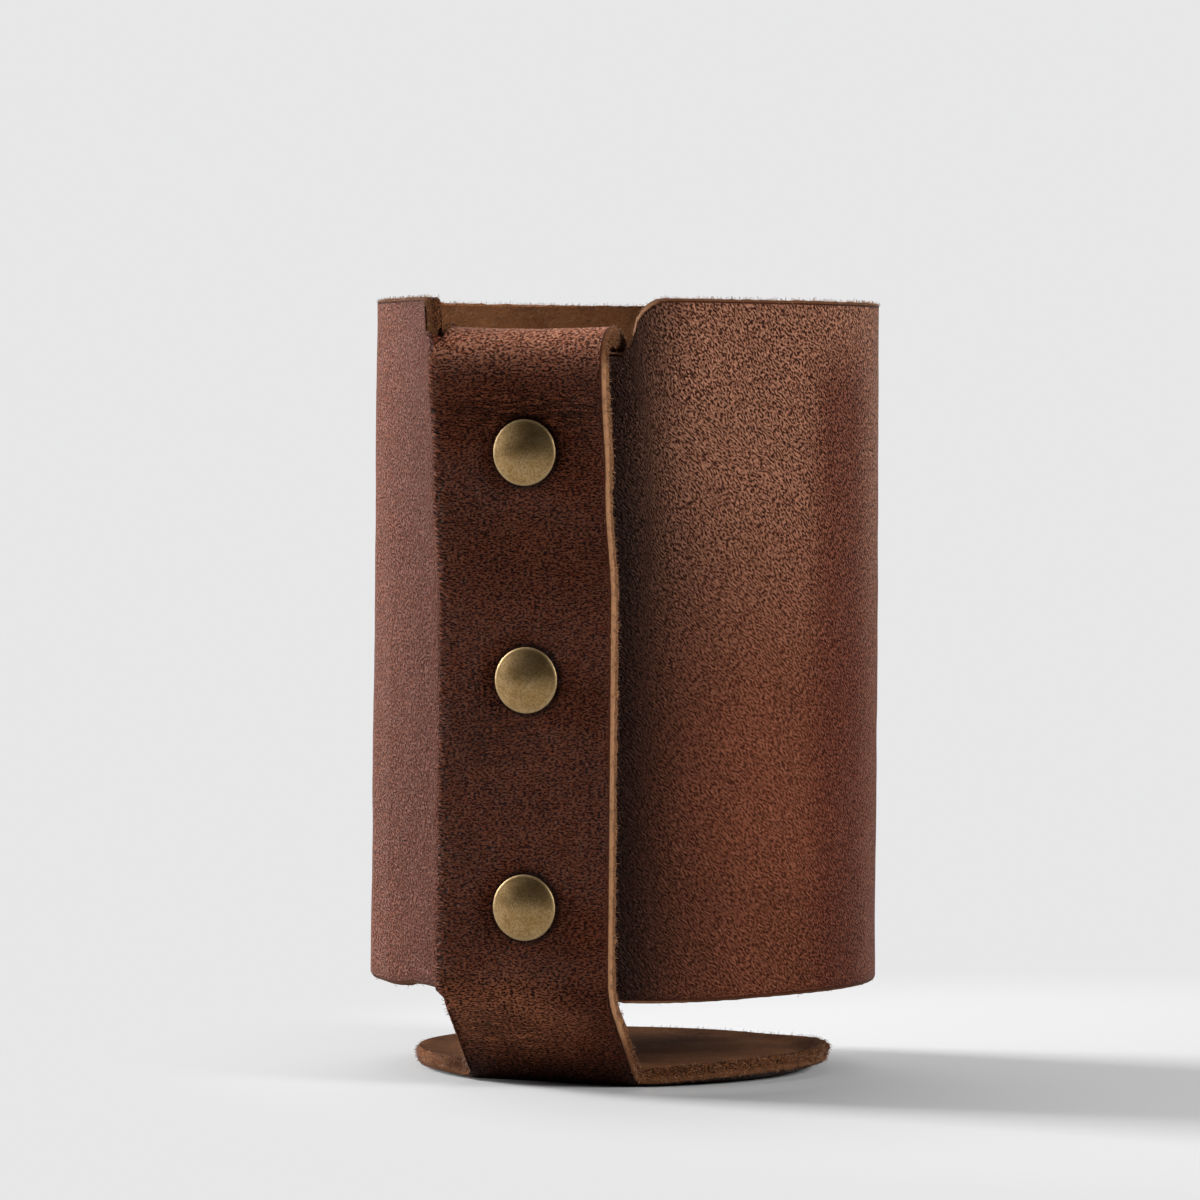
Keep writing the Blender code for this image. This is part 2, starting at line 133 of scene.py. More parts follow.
# %% Places that follow from the sizes
HALF_LEATHER = LEATHER / 2
HALF_STRIP = STRIP_WIDTH / 2
WRAP_TOP = WRAP_BOTTOM + WRAP_HEIGHT
WRAP_OUTSIDE = BAY_RADIUS_TOP + LEATHER
LAYER_STEP = LEATHER + LAYER_GAP
SHOULDER_TOP = WRAP_BOTTOM + SHOULDER_RISE
FOLD_RADIUS = LAYER_STEP + FOLD_EASE
FOLD_CENTRE = WRAP_TOP - FOLD_DROP - HALF_LEATHER - FOLD_RADIUS
TOP_RIVET = FOLD_CENTRE - TOP_RIVET_DROP
LOWEST_RIVET = WRAP_BOTTOM + LOWEST_RIVET_RISE
MIDDLE_RIVET = (TOP_RIVET + LOWEST_RIVET) / 2
RIVETS = {
    "bottom": (0.0, LOWEST_RIVET),
    "middle": (0.0, MIDDLE_RIVET),
    "top": (TOP_RIVET_SHIFT, TOP_RIVET),
}
HEM_END = TOP_RIVET - BACK_RADIUS - PIECE_GAP - HEM_MARGIN
SET_BACK_START = math.radians(60)
END_TOP = WRAP_TOP - END_TOP_DROP
END_OVERLAP_DEG = math.degrees(math.asin((HALF_STRIP - END_SET_BACK) / WRAP_OUTSIDE))
TUCK_EDGE_DEG = 8.0
BASE_CORNER = math.sqrt(BASE_RADIUS**2 - HALF_STRIP**2)
print(f"the fold's loop is centred {FOLD_CENTRE / MM:.1f} mm up, the hem ends at {HEM_END / MM:.1f} mm")

# %% [markdown]
# ## The leather's middle surface
# Bent leather keeps its flat size, so the surface is a rule rather than a sculpture: rounds, straight runs
# and easy blends between them. The first helpers say how far each layer lies from the sleeve's axis.


# %% Helpers for layers
def smooth(t):
    t = min(max(t, 0.0), 1.0)
    return t * t * (3 - 2 * t)


def mix(a, b, t):
    return a + (b - a) * t


def steps(a, b, count):
    """The values after a, up to b, in equal steps."""
    return [mix(a, b, k / count) for k in range(1, count + 1)]


def fine_steps(a, b, cell):
    return steps(a, b, max(1, round(abs(b - a) / cell)))


def bay_radius(z):
    share = (z - WRAP_BOTTOM) / WRAP_HEIGHT
    return mix(BAY_RADIUS_BOTTOM, BAY_RADIUS_TOP, min(max(share, 0.0), 1.0))


def fold_middle():
    return bay_radius(FOLD_CENTRE) + 2 * LAYER_STEP + HALF_LEATHER + FOLD_SLACK - FOLD_RADIUS


def over_hem(z):
    return LAYER_STEP * smooth((z - HEM_END + BULGE_LENGTH) / BULGE_LENGTH)


def towards_fold(z, length=CENTRE_SLACK_LENGTH):
    return smooth((z - FOLD_CENTRE + length) / length)


def end_bulge(z):
    in_loop = fold_middle() - bay_radius(FOLD_CENTRE) - HALF_LEATHER - LAYER_STEP
    return over_hem(z) + in_loop * towards_fold(z)


def strip_distance(x, z):
    layers = bay_radius(z) + LAYER_STEP + HALF_LEATHER + over_hem(z)
    length = mix(CENTRE_SLACK_LENGTH, EDGE_SLACK_LENGTH, (x / HALF_STRIP) ** 2)
    return layers + FOLD_SLACK * towards_fold(z, length)


# %% Helpers for the strap below
def strap_run():
    """The flat joint's distance from the axis, and the length of the sloping stretch."""
    rise = SHOULDER_TOP - HALF_LEATHER - FLOOR_BEND_RADIUS * (1 - math.cos(SLOPE))
    slope_length = (rise - SHOULDER_RADIUS * math.cos(SLOPE)) / math.sin(SLOPE)
    joint = strip_distance(0.0, SHOULDER_TOP) - SHOULDER_RADIUS * (1 - math.sin(SLOPE))
    joint -= slope_length * math.cos(SLOPE) + FLOOR_BEND_RADIUS * math.sin(SLOPE)
    return joint, slope_length


STRAP_JOINT, SLOPE_LENGTH = strap_run()


def strap_profile(length):
    """Distance from the axis and height, a length along the strap from the flat joint."""
    bend_length = FLOOR_BEND_RADIUS * SLOPE
    angle = min(max(length, 0.0), bend_length) / FLOOR_BEND_RADIUS
    out = STRAP_JOINT + min(length, 0.0) + FLOOR_BEND_RADIUS * math.sin(angle)
    up = HALF_LEATHER + FLOOR_BEND_RADIUS * (1 - math.cos(angle))
    along = min(max(length - bend_length, 0.0), SLOPE_LENGTH)
    out += along * math.cos(SLOPE)
    up += along * math.sin(SLOPE)
    turned = max(length - bend_length - SLOPE_LENGTH, 0.0) / SHOULDER_RADIUS
    out += SHOULDER_RADIUS * (math.sin(SLOPE + turned) - math.sin(SLOPE))
    up += SHOULDER_RADIUS * (math.cos(SLOPE) - math.cos(SLOPE + turned))
    return out, up


def strap_length_at(z):
    slope_end = FLOOR_BEND_RADIUS * SLOPE + SLOPE_LENGTH
    below = (SHOULDER_TOP - z) / SHOULDER_RADIUS
    return slope_end + SHOULDER_RADIUS * (math.acos(below) - SLOPE)


SHOULDER_LENGTH = strap_length_at(SHOULDER_TOP)
BASE_FLAT = SHOULDER_TOP - SHOULDER_LENGTH
print(f"the strap leaves the base {STRAP_JOINT / MM:.1f} mm out and is {SHOULDER_LENGTH / MM:.1f} mm long")


# %% Helpers for the fold and the hem
def hem_set_back(x, radius):
    return radius - math.sqrt(radius**2 - x**2)


def arch_point(x, angle):
    """The fold's loop, from the strip over the top and down into the hem."""
    radius = fold_middle() - FOLD_RADIUS
    back = hem_set_back(x, radius) * smooth((angle - SET_BACK_START) / (math.pi / 2))
    distance = fold_middle() + FOLD_RADIUS * math.cos(angle) - back
    lift = FOLD_SAG * (x / HALF_STRIP) ** 2 * math.sin(angle)
    return distance, FOLD_CENTRE + FOLD_RADIUS * math.sin(angle) + lift


def hem_point(x, z):
    radius = bay_radius(z) + HALF_LEATHER
    radius += (fold_middle() - FOLD_RADIUS - radius) * towards_fold(z)
    return radius - hem_set_back(x, radius), z


def notch_outline(start, hollow, crown, depth, step):
    """Points of a notch from its floor to the top edge: a round hollow, then a rounded crown."""
    points = []
    for degrees in [0] + steps(0, 78, step):
        a = math.radians(degrees)
        points.append((start + hollow * math.sin(a), hollow * (1 - math.cos(a))))
    for degrees in steps(0, 90, step)[1:]:
        a = math.radians(degrees)
        points.append((start + hollow + crown * (1 - math.cos(a)), hollow + (depth - hollow) * math.sin(a)))
    return points


# %% [markdown]
# ## A sheet of points
# One grid runs over the base, the strap, the strip, the fold and the hem, and a second grid leaves the
# strip's left crease and goes round. They share the crease's points, so the leather is truly one piece.
# Each point also keeps its place on the flat cut piece: the grain is drawn there and follows every bend.

# %% The sheet
CELL = 1.0 * MM


class Sheet:
    """Points of the middle surface with their place on the flat piece, and the faces between them."""

    def __init__(self):
        self.places = []
        self.flat = []
        self.faces = []
        self.quiet = []
        self.packed = []

    def point(self, x, distance, z, flat, quiet=0.0, packed=0.0):
        self.places.append(Vector((x, -distance, z)))
        self.flat.append(flat)
        self.quiet.append(quiet)
        self.packed.append(packed)
        return len(self.places) - 1

    def join(self, first, second):
        for k in range(len(first) - 1):
            corners = []
            for index in (first[k], first[k + 1], second[k + 1], second[k]):
                if index not in corners:
                    corners.append(index)
            if len(corners) > 2:
                self.faces.append(corners)


FOLD_PACKING = 0.45 * MM
BESIDE_CREASE = 0.3 * MM

sheet = Sheet()
near_crease = BESIDE_CREASE - HALF_STRIP
strip_columns = [-HALF_STRIP, near_crease] + fine_steps(near_crease, HALF_STRIP, CELL)


# %% The round base
RIM_LIFT = 0.45 * MM
SIDE_LIFT = 0.9 * MM
RIM_REACH = 6 * MM


def rim_lift(x, flat):
    """The disc's free rim has curled up off the floor a little, most on its right."""
    curl = smooth((math.hypot(x, flat) - BASE_RADIUS + RIM_REACH) / RIM_REACH) ** 2
    return (RIM_LIFT + SIDE_LIFT * smooth(x / BASE_RADIUS * 1.6 - 0.6)) * curl


def base_point(x, share):
    inside = abs(x) <= HALF_STRIP and share < 0
    half = BASE_CORNER if inside else math.sqrt(max(BASE_RADIUS**2 - x**2, 0.0))
    flat = -share * half
    length = -share * BASE_CORNER - STRAP_JOINT
    if length <= 0:
        return flat, HALF_LEATHER + rim_lift(x, flat)
    bent, lifted = strap_profile(length)
    side = 1 - smooth((abs(x) - HALF_STRIP) / CORNER_LIFT_REACH)
    return flat + (bent + share * BASE_CORNER) * side, mix(HALF_LEATHER + rim_lift(x, flat), lifted, side)


def base_vertex(x, share):
    distance, z = base_point(x, share)
    flat = (x, BASE_FLAT + distance - STRAP_JOINT)
    return sheet.point(x, distance, z, flat, quiet=1 - smooth(z / MM - 2))


base_shares = [1.0] + fine_steps(1.0, -1.0, CELL / BASE_CORNER)
rows = [[base_vertex(x, share) for x in strip_columns] for share in base_shares]
for first, second in zip(rows, rows[1:]):
    sheet.join(first, second)
side_start = math.asin(HALF_STRIP / BASE_RADIUS)
for side in (-1, 1):
    inner = [row[0 if side < 0 else -1] for row in rows]
    for angle in fine_steps(side_start, math.pi / 2, 1.6 * CELL / BASE_RADIUS):
        if angle > math.pi / 2 - 1e-6:
            outer = [base_vertex(side * BASE_RADIUS, 0.0)] * len(rows)
        else:
            outer = [base_vertex(side * BASE_RADIUS * math.sin(angle), share) for share in base_shares]
        sheet.join(*((outer, inner) if side > 0 else (inner, outer)))
        inner = outer
print("points in the base:", len(sheet.places))

# %% The strap, the strip, the fold and the hem
ARCH_STEP_DEG = 9.0
ATTACHED_ARCH_DEG = 40.0
CREASE_RISE = 1.5 * MM

strap_lengths = fine_steps(BASE_CORNER - STRAP_JOINT, strap_length_at(WRAP_BOTTOM + CREASE_RISE), CELL)[:-1]
crease_lengths = [strap_length_at(WRAP_BOTTOM + CREASE_RISE)]
crease_lengths += fine_steps(crease_lengths[0], SHOULDER_LENGTH, CELL)
crease_heights = fine_steps(SHOULDER_TOP, FOLD_CENTRE, CELL)
attached_angles = fine_steps(0, ATTACHED_ARCH_DEG, ARCH_STEP_DEG)
free_angles = fine_steps(ATTACHED_ARCH_DEG, 180, ARCH_STEP_DEG)
hem_heights = fine_steps(FOLD_CENTRE, HEM_END, CELL)


def strip_rows():
    """Each row's kind, a function of x that gives its place, its height when flat, and its packing."""
    for length in strap_lengths:
        yield "strap", lambda x, n=length: strap_profile(n), BASE_FLAT + length, 0.0
    for length in crease_lengths:
        yield "crease", lambda x, n=length: strap_profile(n), BASE_FLAT + length, 0.0
    for z in crease_heights:
        yield "crease", lambda x, z=z: (strip_distance(x, z), z), z, 0.0
    for degrees in attached_angles + free_angles:
        angle = math.radians(degrees)
        kind = "crease" if degrees <= ATTACHED_ARCH_DEG else "free"
        packed = FOLD_PACKING * math.sin(angle) ** 2
        yield kind, lambda x, a=angle: arch_point(x, a), FOLD_CENTRE + FOLD_RADIUS * angle, packed
    for z in hem_heights:
        yield "free", lambda x, z=z: hem_point(x, z), 2 * FOLD_CENTRE + FOLD_RADIUS * math.pi - z, 0.0


row = rows[-1]
crease_rows = []
for kind, place, flat_height, packed in strip_rows():
    columns = list(strip_columns)
    if kind == "free":
        columns[0] += TAB_TRIM
    above = [sheet.point(x, *place(x), (x, flat_height), packed=packed) for x in columns]
    sheet.join(row, above)
    row = above
    if kind == "crease":
        crease_rows.append(above)
print("points with the strip:", len(sheet.places), "rows on the crease:", len(crease_rows))


# %% Columns of the wrap
WRAP_ARC_START_DEG = 60.0
NOTCH_CLEAR_DEG = 34.0
NOTCH_STEPS = 6
ARC_STEP_DEG = math.degrees(CELL / WRAP_OUTSIDE)
PULL_SHARE = 0.2
FIRST_SHARE = 0.018
PLAIN_COLUMNS = 6
LOOP_FILL_TOP = END_TOP + 0.6 * MM
SIDE_RISE = 0.6 * MM


def side_rise(degrees):
    """The wrap's lower edge was cut a little higher at the sides, and highest where it leaves the crease."""
    from_crease = CREASE_RISE * (1 - smooth((degrees - 20) / 40))
    return SIDE_RISE * smooth((180 - abs(180 - degrees) - 25) / 45) + from_crease


def lower_edge(degrees, hidden):
    tucked_rise = END_BOTTOM_RISE * smooth((hidden - degrees) / TUCK_EDGE_DEG)
    return WRAP_BOTTOM + tucked_rise + side_rise(360 - degrees)


def wrap_columns():
    """Columns of the wrap: where each stands below, where at the top edge, and the edge's heights."""
    outline = notch_outline(start=LEFT_NOTCH_START, step=NOTCH_STEPS, **LEFT_NOTCH)
    columns = []
    line_count = len(outline) + PLAIN_COLUMNS
    for k, (across, up) in enumerate(outline):
        top = WRAP_TOP - LEFT_NOTCH["depth"] + up
        share = max(k / line_count, FIRST_SHARE)
        columns.append(("line", share, across, top, WRAP_BOTTOM + side_rise(share * WRAP_ARC_START_DEG)))
    for k in reversed(range(PLAIN_COLUMNS)):
        share = 1 - k / line_count
        columns.append(("line", share, None, WRAP_TOP, WRAP_BOTTOM + side_rise(share * WRAP_ARC_START_DEG)))
    turn = fine_steps(WRAP_ARC_START_DEG, 360 - NOTCH_CLEAR_DEG, ARC_STEP_DEG)
    for degrees in [WRAP_ARC_START_DEG] + turn:
        columns.append(("arc", degrees, degrees, WRAP_TOP, WRAP_BOTTOM + side_rise(degrees)))
    hidden = math.degrees(math.asin(HALF_STRIP / WRAP_OUTSIDE))
    tucked = hidden - TUCK_EDGE_DEG
    depth = RIGHT_NOTCH["depth"]
    outline = notch_outline(start=HALF_STRIP - RIGHT_NOTCH_INSET, step=NOTCH_STEPS, **RIGHT_NOTCH)
    even = steps(NOTCH_CLEAR_DEG, tucked, len(outline) + 1)[:-1]
    for (across, up), below in zip(reversed(outline), even):
        top = min(WRAP_TOP - depth + up, WRAP_TOP) if across > HALF_STRIP else LOOP_FILL_TOP
        at_top = math.degrees(across / WRAP_OUTSIDE)
        columns.append(("arc", 360 - below, 360 - at_top, top, lower_edge(below, hidden)))
    for degrees in [tucked] + fine_steps(tucked, -END_OVERLAP_DEG, ARC_STEP_DEG):
        top = mix(END_TOP, LOOP_FILL_TOP, smooth((degrees - tucked + 4) / 4))
        columns.append(("arc", 360 - degrees, 360 - degrees, top, lower_edge(degrees, hidden)))
    return columns


def wrap_point(column, distance, share):
    """Middle surface of the wrap on one column, at a share of the height from bottom to top edge."""
    kind, below, at_top, top, bottom = column
    z = mix(bottom, top, share)
    pull = smooth((share - 1 + PULL_SHARE) / PULL_SHARE)
    radius = bay_radius(z) + HALF_LEATHER
    if kind == "line":
        if z > FOLD_CENTRE:
            distance = strip_distance(HALF_STRIP, FOLD_CENTRE)
        reach = math.hypot(HALF_STRIP, distance)
        angle = math.atan2(HALF_STRIP, distance) + math.acos(radius / reach)
        length = math.sqrt(reach**2 - radius**2)
        along = below * length
        if at_top is not None:
            along = mix(along, at_top, pull)
        x = mix(-HALF_STRIP, -radius * math.sin(angle), along / length)
        return x, mix(distance, radius * math.cos(angle), along / length), z, 0.0
    degrees = mix(below, at_top, pull)
    hidden = math.degrees(math.asin(HALF_STRIP / radius))
    runout = smooth((360 - degrees - hidden) / BULGE_RUNOUT_DEG)
    radius += end_bulge(z) * (1 - runout)
    theta = math.radians(degrees)
    quiet = 1 - smooth((360 - degrees - hidden) / TUCK_EDGE_DEG)
    return -radius * math.sin(theta), radius * math.cos(theta), z, quiet


# %% The wrap
columns = wrap_columns()
low = sheet.places[crease_rows[0][0]].z
high = sheet.places[crease_rows[-1][0]].z
wrap_rows = []
for strip_row in crease_rows:
    corner = sheet.places[strip_row[0]]
    share = (corner.z - low) / (high - low)
    row = [strip_row[0]]
    before = corner
    along = -HALF_STRIP
    for column in columns:
        x, distance, z, quiet = wrap_point(column, -corner.y, share)
        here = Vector((x, -distance, z))
        along -= (here - before).length
        row.append(sheet.point(x, distance, z, (along, z), quiet))
        before = here
    wrap_rows.append(row)
for first, second in zip(wrap_rows, wrap_rows[1:]):
    sheet.join(second, first)
print("points in all:", len(sheet.places), "faces:", len(sheet.faces))

# %% [markdown]
# ## The crease
# The outside of the crease is sharp, because thick leather breaks over its own corner. A skin that is only
# pushed out along the corner's normal would cut that corner off, so the crease's points are pushed out
# further, as a mitre reaches further than its boards are thick. The corner itself is eased a little.

# %% A sharp crease
CREASE_EASE = 0.25
CREASE_ROWS = 3
MITRE_LIMIT = 1.5

crease_mitre = {}
for number, (strip_row, row) in enumerate(zip(crease_rows, wrap_rows)):
    in_full = min(1.0, number / CREASE_ROWS)
    corner = sheet.places[strip_row[0]]
    before, after = sheet.places[strip_row[1]], sheet.places[row[1]]
    corner = corner + CREASE_EASE * in_full * (before + after - 2 * corner)
    sheet.places[strip_row[0]] = corner
    opening = (before - corner).angle(after - corner)
    crease_mitre[strip_row[0]] = mix(1.0, min(MITRE_LIMIT, 1 / math.sin(opening / 2)), in_full)
print("the crease opens", round(math.degrees(opening)), "degrees at the top")

# %% [markdown]
# ## Thickness
# A Solidify modifier gives a clean square edge, but this leather was cut with shears, and its edge is
# rounded and rough. So the two skins and the rows across the cut edge are made here. The grain side also
# gets its slow waves and the hollow that each rivet has pressed in; the fine grain comes from the material.

# %% Normals and the order of the cut edge
flat_mesh = bpy.data.meshes.new("middle")
flat_mesh.from_pydata(sheet.places, [], sheet.faces)
flat_mesh.update()
normals = [vertex.normal.copy() for vertex in flat_mesh.vertices]
outward = 1.0 if normals[crease_rows[40][12]].y < 0 else -1.0
normals = [normal * outward for normal in normals]
bpy.data.meshes.remove(flat_mesh)

following = {}
owner = {}
used = {}
for number, face in enumerate(sheet.faces):
    for a, b in zip(face, face[1:] + face[:1]):
        used[(a, b)] = number
for (a, b), number in used.items():
    if (b, a) not in used:
        following[a] = b
        owner[a] = number
first = next(iter(following))
loop = [first]
while following[loop[-1]] != first:
    loop.append(following[loop[-1]])
print("points along the cut edge:", len(loop), "of", len(following), "outward", outward)

# %% Relief of the grain side
WAVE = 0.16 * MM
RIPPLE = 0.06 * MM
WAVE_ACROSS = 15 * MM
WAVE_UP = 19 * MM
RIVET_PRESS = 0.32 * MM
PRESS_REACH = 2.6 * MM


def relief(u, v):
    """How far the grain side stands out at a place on the flat piece."""
    spot = Vector((u / WAVE_ACROSS, v / WAVE_UP, 0.3))
    rise = WAVE * noise.noise(spot) + RIPPLE * noise.noise(spot * 4.3)
    for x, z in RIVETS.values():
        away = math.hypot(u - x, v - z)
        rise -= RIVET_PRESS * (1 - smooth((away - CAP_RADIUS * 0.98) / PRESS_REACH))
    return rise


# %% The two skins
GRAIN_CORNER = 0.50 * MM
FLESH_CORNER = 0.22 * MM

count = len(sheet.places)
vertices = []
flats = []
inset = {}
length_along = {}
travelled = 0.0
for k, index in enumerate(loop):
    before, after = sheet.places[loop[k - 1]], sheet.places[loop[(k + 1) % len(loop)]]
    along = (after - before).normalized()
    away = along.cross(normals[index]).normalized()
    middle = Vector()
    for corner in sheet.faces[owner[index]]:
        middle += sheet.places[corner] / len(sheet.faces[owner[index]])
    if away.dot(sheet.places[index] - middle) < 0:
        away = -away
    inset[index] = away
    length_along[index] = travelled
    travelled += (after - sheet.places[index]).length
for side in (1, -1):
    for index in range(count):
        raised = HALF_LEATHER + (sheet.packed[index] if side < 0 else 0.0)
        if side > 0:
            raised += relief(*sheet.flat[index]) * (1 - sheet.quiet[index])
            raised *= crease_mitre.get(index, 1.0)
        place = sheet.places[index] + side * raised * normals[index]
        if index in inset:
            place -= (GRAIN_CORNER if side > 0 else FLESH_CORNER) * inset[index]
        vertices.append(place)
        flats.append(sheet.flat[index])
print("points on the two skins:", len(vertices))

# %% Where the cut edge is fuzzy or pale
def on_base(place):
    return place.z < 9 * MM and place.y > -BASE_RADIUS - 1 * MM


def fuzz_at(index):
    """How thickly loose fibres stand on the cut edge: most on the strip's side, the fold and the notches."""
    place = sheet.places[index]
    if on_base(place):
        return 1.6
    if abs(place.x) < HALF_STRIP + 0.1 * MM and place.y < -BAY_RADIUS_TOP:
        return 1.0
    in_notch = smooth((1 * MM + WRAP_TOP - place.z) / MM) * smooth((place.z - FOLD_CENTRE) / MM)
    return 0.03 + 0.7 * in_notch


def pale_at(index):
    """How light the cut edge is: clean and light beside the strip, dark and dirty elsewhere."""
    place = sheet.places[index]
    on_right = smooth((place.x - HALF_STRIP + 1 * MM) / MM)
    beside = smooth((FOLD_CENTRE + 1 * MM - place.z) / (3 * MM)) * smooth((place.z - 5 * MM) / (6 * MM))
    in_notch = smooth((WRAP_TOP - place.z) / MM) * smooth((place.z - FOLD_CENTRE) / MM)
    forward = smooth((-place.y - BAY_RADIUS_TOP + 6 * MM) / (4 * MM))
    on_wrap = smooth((place.x - HALF_STRIP - 0.2 * MM) / (0.3 * MM))
    return on_right * forward * max(beside, 0.7 * in_notch * on_wrap)


# %% Rows across the cut edge
EDGE_LEVELS = (0.95, 0.82, 0.62, 0.36, 0.1, -0.16, -0.42, -0.68, -0.9)
EDGE_OUT = (-0.26, -0.08, 0.03, 0.08, 0.04, 0.06, 0.08, 0.05, -0.05)
EDGE_ROUGH = 0.16 * MM
BASE_ROUGHER = 2.2

edge_rows = [list(loop)]
fuzz = [0.0] * len(vertices)
pale = [0.0] * len(vertices)
for level, out in zip(EDGE_LEVELS, EDGE_OUT):
    row = []
    for index in loop:
        rough = noise.noise(Vector((length_along[index] / (0.9 * MM), level * 2.1, 1.7)))
        rough += 0.6 * noise.noise(Vector((length_along[index] / (3.1 * MM), level * 1.2, 4.7)))
        below = min(level, 0.0) * sheet.packed[index]
        if on_base(sheet.places[index]):
            rough *= BASE_ROUGHER
        place = sheet.places[index] + (level * HALF_LEATHER + below) * normals[index]
        place += (out * MM + EDGE_ROUGH * (1 - level) * rough) * inset[index]
        row.append(len(vertices))
        vertices.append(place)
        flats.append((length_along[index], level * HALF_LEATHER))
        above_floor = smooth((place.z - 0.7 * MM) / (0.5 * MM))
        fuzz.append(fuzz_at(index) * above_floor)
        pale.append(pale_at(index))
    edge_rows.append(row)
edge_rows.append([index + count for index in loop])
print(f"cut edge {travelled / MM:.0f} mm long")

# %% One closed mesh
GRAIN, FLESH, EDGE = 0, 1, 2

faces = []
kinds = []
for corners in sheet.faces:
    ordered = corners if outward > 0 else corners[::-1]
    faces.append(ordered)
    kinds.append(GRAIN)
    faces.append([index + count for index in reversed(ordered)])
    kinds.append(FLESH)
for upper, lower in zip(edge_rows, edge_rows[1:]):
    for k in range(len(loop)):
        after = (k + 1) % len(loop)
        quad = [upper[k], lower[k], lower[after], upper[after]]
        faces.append(quad if outward > 0 else quad[::-1])
        kinds.append(GRAIN if upper is edge_rows[0] else EDGE)

leather_mesh = bpy.data.meshes.new("leather")
leather_mesh.from_pydata(vertices, [], faces)
leather_mesh.update()
uv = leather_mesh.uv_layers.new(name="flat")
loop_flats = []
for face, kind in zip(faces, kinds):
    for index in face:
        if kind == EDGE and index < 2 * count:
            source = index % count
            loop_flats.extend((length_along[source], HALF_LEATHER if index < count else -HALF_LEATHER))
        else:
            loop_flats.extend(flats[index])
uv.data.foreach_set("uv", loop_flats)
leather_mesh.polygons.foreach_set("material_index", kinds)
for name, amounts in (("fuzz", fuzz), ("pale", pale)):
    leather_mesh.attributes.new(name, "FLOAT", "POINT").data.foreach_set("value", amounts)
leather_mesh.shade_smooth()
leather = bpy.data.objects.new("leather_piece", leather_mesh)
bpy.context.scene.collection.objects.link(leather)
print("leather faces:", len(faces))

# %% [markdown]
# ## Writing materials as sums
# A leather finish is mostly arithmetic on a few patterns. Wiring that by hand hides the idea, so one small
# class wraps a node's output and lets plain Python expressions add the Math nodes.


# %% Sums on sockets
class Value:
    """A node's output. Sums on it add Math nodes to the same material."""

    def __init__(self, finish, socket):
        self.finish = finish
        self.socket = socket

    def maths(self, operation, *values):
        inputs = dict(enumerate(values))
        return self.finish.node("ShaderNodeMath", {"operation": operation}, inputs)

    def __add__(self, other):
        return self.maths("ADD", self, other)

    __radd__ = __add__

    def __mul__(self, other):
        return self.maths("MULTIPLY", self, other)

    __rmul__ = __mul__

    def __sub__(self, other):
        return self.maths("SUBTRACT", self, other)

    def __rsub__(self, other):
        return self.maths("SUBTRACT", other, self)

    def __truediv__(self, other):
        return self.maths("DIVIDE", self, other)

    def __pow__(self, other):
        return self.maths("POWER", self, other)

    def __abs__(self):
        return self.maths("ABSOLUTE", self)

    def highest(self, other):
        return self.maths("MAXIMUM", self, other)

    def between(self, low, high):
        """Zero at low, one at high, with an easy rise between. Low may be the larger."""
        settings = {"interpolation_type": "SMOOTHSTEP"}
        if low < high:
            return self.finish.node("ShaderNodeMapRange", settings, {0: self, 1: low, 2: high})
        return 1 - self.finish.node("ShaderNodeMapRange", settings, {0: self, 1: high, 2: low})


def srgb(red, green, blue):
    """A colour as a picture editor shows it, 0 to 255, as the linear colour that a shader wants."""
    linear = []
    for value in (red, green, blue):
        value /= 255
        linear.append(value / 12.92 if value <= 0.04045 else ((value + 0.055) / 1.055) ** 2.4)
    return (*linear, 1.0)


